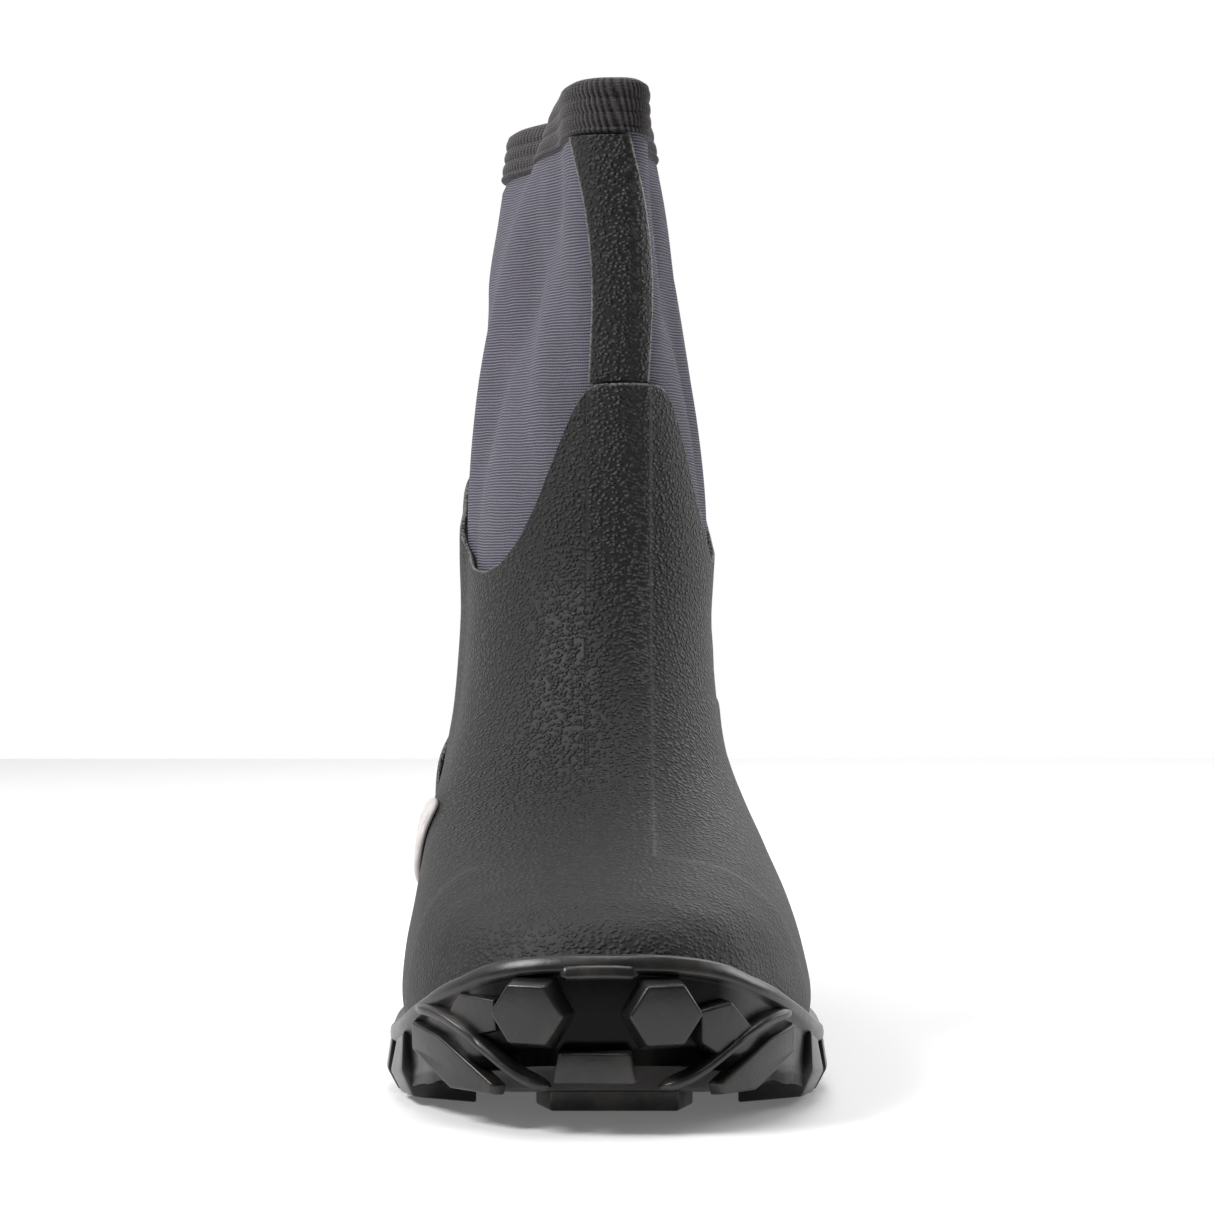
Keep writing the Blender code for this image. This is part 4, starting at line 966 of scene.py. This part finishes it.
def sole_row(k, turn):
    """One row of the sole's body, numbered from the middle of the tray to the middle of the underside."""
    offset = sole_offset(turn)
    if k < 4:
        share = max(0.0, (k - 1) / 3)
        level = level_at(turn, edge_height(turn, "rim"), offset) * min(1.0, share)
        points = layer(level, turn, offset)
        if k <= 1:
            points[..., 2] = sole_line(HEEL_CENTRE - points[..., 1], "seat")
        return points if k else (points + sole_row(1, 2 * math.pi - turn)) / 2
    if k < 4 + len(WALL):
        part, drop, spread = WALL[k - 4]
        height = blend(edge_height(turn, "edge"), edge_height(turn, "rim"), part) - drop
        return wall_point(turn, height, spread - (toe_recess(turn) if spread < -0.0005 else 0.0))
    inward = (k - 3 - len(WALL)) / 5
    rim_in = under_point(turn, ROUNDING * min(1.0, inward * 2), LUG_DEPTH)
    if inward <= 0.5:
        return rim_in
    middle = (rim_in + under_point(2 * math.pi - turn, ROUNDING, LUG_DEPTH)) / 2
    return blend(rim_in, middle, (inward - 0.5) * 2)


def body_place(share, up):
    row = np.rint(up * (BODY_ROWS - 1)).astype(int)
    turn = turn_at(share)
    points = np.zeros((len(share), 3))
    for k in range(BODY_ROWS):
        points[row == k] = sole_row(k, turn[row == k])
    return points


def body_marks(share, up, points):
    """How deep a point lies between the lugs of the toe, where little light comes."""
    row = np.rint(up * (BODY_ROWS - 1)).astype(int)
    low = (row >= 9) & (row < 4 + len(WALL))
    return {"deep": np.where(low, toe_recess(turn_at(share)) / TOE_DEPTH, 0.0)}


sole_body = wrap("outsole_body", 224, BODY_ROWS - 1, body_place, marks=body_marks)
dress(sole_body, sole_rubber, "outsole")

# %% [markdown]
# ## Lugs
# Lugs stand out of the sole's edge and tread. Each starts as a plain block, whose sharp edges are then
# bevelled, as a mould's edges are never sharp. The lugs are one piece with many closed blocks, each sunk
# into the sole's body.

# %% Blocks round the edge
EDGE_LUGS = (  # shares of the way from heel to toe, reach in under the sole, height up the wall
    (0.030, 0.078, 0.10, 0.72), (0.098, 0.146, 0.13, 0.74), (0.166, 0.214, 0.14, 0.72),
    (0.234, 0.288, 0.17, 0.74), (0.350, 0.400, 0.05, 0.66), (0.430, 0.480, 0.05, 0.66),
    (0.548, 0.594, 0.20, 0.84), (0.614, 0.660, 0.16, 0.82), (0.680, 0.726, 0.20, 0.84),
    (0.746, 0.792, 0.16, 0.80),
)  # fmt: skip


def way_round(side):
    """Shares of the way from heel to toe along the sole's outline, on one side."""
    turns = side * np.linspace(0, math.pi, 361)
    points = sole_outline(turns)[0]
    lengths = np.concatenate([[0], np.cumsum(np.linalg.norm(np.diff(points[:, :2], axis=0), axis=1))])
    return lambda share: np.interp(share, lengths / lengths[-1], turns)


def bevelled(bm, faces_before, width, segments=3):
    """Rounds the sharp edges of the block that was added last."""
    faces = [face for face in bm.faces if face not in faces_before]
    bmesh.ops.recalc_face_normals(bm, faces=faces)
    edges = {edge for face in faces for edge in face.edges if edge.calc_face_angle(0) > math.radians(28)}
    bmesh.ops.bevel(bm, geom=list(edges), offset=width, offset_type="OFFSET", segments=segments, profile=0.5,
                    affect="EDGES", material=-1, clamp_overlap=True)  # fmt: skip


def ring_block(bm, rings, width):
    """A block from rings of points: the first is extruded through the others, and both ends are closed."""
    before = set(bm.faces)
    count = len(rings[0])
    verts = bmesh.ops.create_circle(bm, cap_ends=False, segments=count, radius=1.0)["verts"]
    for vert, point in zip(verts, rings[0]):
        vert.co = point
    edges = list({edge for vert in verts for edge in vert.link_edges})
    first_edges = edges
    for ring in rings[1:]:
        out = bmesh.ops.extrude_edge_only(bm, edges=edges)["geom"]
        fresh = {item for item in out if isinstance(item, bmesh.types.BMVert)}
        edges = [item for item in out if isinstance(item, bmesh.types.BMEdge)]
        verts = [next(other for other in (e.other_vert(vert) for e in vert.link_edges) if other in fresh)
                 for vert in verts]  # fmt: skip
        for vert, point in zip(verts, ring):
            vert.co = point
    bmesh.ops.holes_fill(bm, edges=first_edges + edges, sides=0)
    bevelled(bm, before, width)


def edge_lug_rings(turns, inward, up):
    low, high = edge_height(turns, "edge"), edge_height(turns, "rim")
    top = blend(low, high, up)
    lean = turns.mean() + (turns - turns.mean()) * 0.8
    rows = [
        under_point(turns, inward, 0.0), under_point(turns, 0.0015, 0.0),
        wall_point(turns, blend(low, high, 0.32), SIDE_RIB), wall_point(lean, top, 0.0002),
        wall_point(lean, top - 0.0015, -LUG_ROOT), wall_point(turns, blend(low, high, 0.48), -LUG_ROOT),
        under_point(turns, 0.004, LUG_DEPTH + 0.0015), under_point(turns, inward, LUG_DEPTH + 0.0025),
    ]  # fmt: skip
    return np.stack(rows, axis=1)


def add_edge_lugs(bm):
    for side in (1, -1):
        place = way_round(side)
        for start, stop, inward, up in EDGE_LUGS:
            turns = place(np.linspace(start, stop, 5))
            ring_block(bm, edge_lug_rings(turns, inward * BALL_WIDTH, up), 0.0007)


# %% Blocks of the tread
def hexagon(x, length, across):
    reach = across / math.sqrt(3)
    angles = [math.radians(30 + 60 * i) for i in range(6)]
    return [(x + reach * math.cos(angle), length + reach * math.sin(angle)) for angle in angles]


TOE_BLOCK = ((-0.15, 0.826), (0.20, 0.826), (0.165, 0.884), (-0.115, 0.884))  # shares of width and length


def add_tread_blocks(bm):
    across = 0.165 * BALL_WIDTH
    pitch = across + LUG_GAP
    outlines = [hexagon(0.0, HEEL_CENTRE + row * pitch, across) for row in (-1, 0, 1)]
    for row in range(3):
        length = 0.610 * SOLE_LENGTH + pitch * (0.6 + 0.866 * row)
        outlines += [hexagon(x, length, across) for x in ((-pitch / 2, pitch / 2) if row % 2 else (0.0,))]
    outlines.append([(x * BALL_WIDTH, at * SOLE_LENGTH) for x, at in TOE_BLOCK])
    for outline in outlines:
        rings = []
        for lift in (0.0, 1.5 * LUG_DEPTH):
            rings.append([(x, HEEL_CENTRE - at, float(sole_line(at, "tread")) + lift) for x, at in outline])
        ring_block(bm, rings, 0.0008)


# %% Lugs on the front of the toe
def toe_points(x, height, spread):
    """Points on the sole's front at x and a height, spread out from the wall."""
    x, height = np.asarray(x, float), np.asarray(height, float)
    low, high = np.full(x.shape, math.pi / 2), np.full(x.shape, 3 * math.pi / 2)
    for _ in range(16):
        middle = (low + high) / 2
        beyond = wall_point(middle, height, 0.0)[..., 0] > x
        low, high = np.where(beyond, middle, low), np.where(beyond, high, middle)
    return wall_point((low + high) / 2, height, spread)


toe_middle = 0.5 * float(sole_line(SOLE_LENGTH, "edge") + sole_line(SOLE_LENGTH, "rim"))


WALL_BLOCKS = (  # corners as x and height over the lugs' middle in mm, rise in mm
    ([(-10.5, -9.5), (6.5, -9.5), (7.8, -17.0), (-11.9, -17.0)], 3.0),
    ([(-48.0, -6.5), (-41.0, -8.5), (-27.0, -18.5), (-27.5, -21.0), (-38.0, -21.0), (-48.0, -14.0)], 2.6),
    ([(48.0, -6.5), (41.5, -9.0), (29.0, -18.0), (29.5, -21.0), (38.0, -21.0), (48.0, -14.0)], 2.6),
    ([(24.0, 0.5), (31.5, 2.0), (37.0, -5.5), (29.5, -12.0), (24.5, -8.0)], 2.6),
    ([(-36.0, 3.0), (-27.5, 2.5), (-27.0, -5.0), (-32.5, -7.0), (-38.5, -1.5)], 1.4),
)


def wall_block(bm, x, height, rise, root, bevel):
    """A block on the toe's wall: an outline, wider at its root, pushed out to a flat face."""
    middle_x, middle_height = x.mean(), height.mean()
    rings = []
    for scale, spread in ((root, -LUG_ROOT - 0.001), (1 + (root - 1) * 0.45, rise * 0.2), (1.0, rise)):
        wide, high = middle_x + (x - middle_x) * scale, middle_height + (height - middle_height) * scale
        rings.append(toe_points(wide, high, spread))
    ring_block(bm, rings, bevel)


def add_toe_lugs(bm):
    angles = np.radians(60 * np.arange(6))
    for x in (-0.15 * BALL_WIDTH, 0.125 * BALL_WIDTH):
        spots = (x + TOE_LUG / 2 * np.cos(angles), toe_middle + TOE_LUG / 2 * np.sin(angles))
        wall_block(bm, *spots, TOE_LUG_HEIGHT, 1.26, 0.0008)
    for corners, rise in WALL_BLOCKS:
        corners = np.array(corners) * 0.001
        wall_block(bm, corners[:, 0], toe_middle + corners[:, 1], rise * 0.001 - RECESS, 1.12, 0.0007)


lugs_bm = bmesh.new()
add_edge_lugs(lugs_bm)
add_tread_blocks(lugs_bm)
add_toe_lugs(lugs_bm)
lugs = dress(finish_piece("sole_lugs", lugs_bm), sole_rubber, None)
lugs.data.set_sharp_from_angle(angle=math.radians(40))

# %% [markdown]
# ## The sweeping ribs of the toe
# Two ribs sweep from the rim at each side down to the middle of the toe, and a short bar lies under the
# rim between the six-sided lugs. Each is a narrow grid laid on the sole's wall along a path, raised in its
# middle.

# %% Ribs
TOE_RIBS = (  # path points as x and z in mm, half width in mm, rise in mm
    (((-50.0, 27.0), (-43.0, 28.6), (-35.0, 25.0), (-27.0, 18.6), (-20.0, 13.6), (-12.0, 11.4)), 1.9, 3.6),
    (((50.0, 26.5), (44.0, 27.6), (36.0, 24.0), (29.0, 18.6), (22.0, 13.8), (13.0, 11.4)), 1.9, 3.6),
    (((-12.0, 40.4), (-4.0, 41.0), (4.0, 41.0), (10.0, 40.4)), 2.4, 1.8),
)


def rib_place(path, half, rise):
    path = np.array(path) * 0.001
    lengths = np.concatenate([[0], np.cumsum(np.linalg.norm(np.diff(path, axis=0), axis=1))])

    def place(share, up):
        at = blend(0, lengths[-1], share)
        shifts = np.linspace(-0.1, 0.1, 5) * lengths[-1]
        x = np.mean([np.interp(np.clip(at + s, 0, lengths[-1]), lengths, path[:, 0]) for s in shifts], axis=0)
        z = np.mean([np.interp(np.clip(at + s, 0, lengths[-1]), lengths, path[:, 1]) for s in shifts], axis=0)
        side = 2 * up - 1
        taper = np.clip(np.minimum(share, 1 - share) / 0.12, 0, 1) ** 0.5
        z = z + side * half * 0.001 * taper
        spread = -LUG_ROOT + (LUG_ROOT - RECESS + rise * 0.001) * (1 - np.abs(side) ** 4) * taper
        return toe_points(x, z, spread)

    return place


for k, (path, half, rise) in enumerate(TOE_RIBS):
    rib = wrap(f"toe_rib_{k + 1}", 44, 12, rib_place(path, half, rise))
    outward_check(rib, (0, -0.15, 0.03))
    backing = rib.modifiers.new("backing", "SOLIDIFY")
    backing.thickness, backing.offset = 0.0008, -1
    dress(rib, sole_rubber, None)

# %% The footbed keeps its solid, with a felt finish
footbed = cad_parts["insole"]
footbed.data.materials.clear()
footbed.data.materials.append(footbed_felt)

# %% [markdown]
# ## Camera and studio
# The camera looks straight at the toe from 0.9 m, level with the lower shaft, through a long lens. A pale
# floor, a white sky that is dimmer in front and four soft lamps give the even light of a catalogue.

# %% Camera
CAMERA_BACK = 0.900  # from the toe's tip
TOE_TIP = -0.263
CAMERA_HEIGHT = 0.150
CAMERA_ASIDE = 0.001
FOCAL_PIXELS = 3652  # the lens's focal length in the photograph's pixels
MIDDLE_UNDER_HORIZON = 75  # pixels from the horizon down to the photograph's middle
camera_data = bpy.data.cameras.new("camera")
camera_data.lens = 108.3
camera_data.sensor_width = 36.0
camera = bpy.data.objects.new("camera", camera_data)
camera.location = (CAMERA_ASIDE, TOE_TIP - CAMERA_BACK, CAMERA_HEIGHT)
camera.rotation_euler = (math.radians(90) - math.atan(MIDDLE_UNDER_HORIZON / FOCAL_PIXELS), 0, 0)
bpy.context.scene.collection.objects.link(camera)
bpy.context.scene.camera = camera


# %% Floor, sky and lamps
FLOOR_REACH = 1.25


def place_nodes_of_sky(tree):
    """The direction into the sky, as the world's own coordinates give it."""
    return node(tree, "ShaderNodeTexCoord").outputs["Generated"]


def studio():
    bm = bmesh.new()
    bmesh.ops.create_grid(bm, x_segments=2, y_segments=2, size=FLOOR_REACH)
    floor = finish_piece("floor", bm)
    pale, tree, shader = new_material("pale_floor", (0.92, 0.92, 0.92), 0.7, Emission_Strength=0.12)
    cloud = noise(tree, place_nodes(tree), 30, 2)
    shade = mix_colour(tree, cloud, (0.90, 0.90, 0.90), (0.94, 0.94, 0.94))
    tree.links.new(shade, shader.inputs["Base Color"])
    floor.data.materials.append(pale)
    world = bpy.data.worlds.new("white_sky")
    world.use_nodes = True
    sky = world.node_tree.nodes["Background"]
    sky.inputs["Color"].default_value = (1.0, 1.0, 1.0, 1)
    tree = world.node_tree
    way = node(tree, "ShaderNodeSeparateXYZ", None, {"Vector": place_nodes_of_sky(tree)})
    behind = fade(tree, way.outputs["Y"], -0.10, 0.90, 0.13, 1.0)
    tree.links.new(behind, sky.inputs["Strength"])
    bpy.context.scene.world = world
    lamps = (  # name, place, size, watts
        ("key", (-0.95, -0.45, 1.1), 0.5, 17.0),
        ("fill", (1.1, 0.35, 0.6), 0.6, 5.0),
        ("top", (0.0, -0.1, 1.5), 0.7, 8.0),
        ("back", (0.4, 1.2, 0.9), 0.9, 4.0),
    )
    for name, place, size, watts in lamps:
        data = bpy.data.lights.new(name, "AREA")
        data.shape, data.size, data.energy = "SQUARE", size, watts
        lamp = bpy.data.objects.new(name, data)
        lamp.location = place
        lamp.rotation_euler = (Vector(place) - Vector((0, -0.08, 0.12))).to_track_quat("Z", "Y").to_euler()
        bpy.context.scene.collection.objects.link(lamp)


studio()
bpy.context.scene.view_settings.view_transform = "Standard"
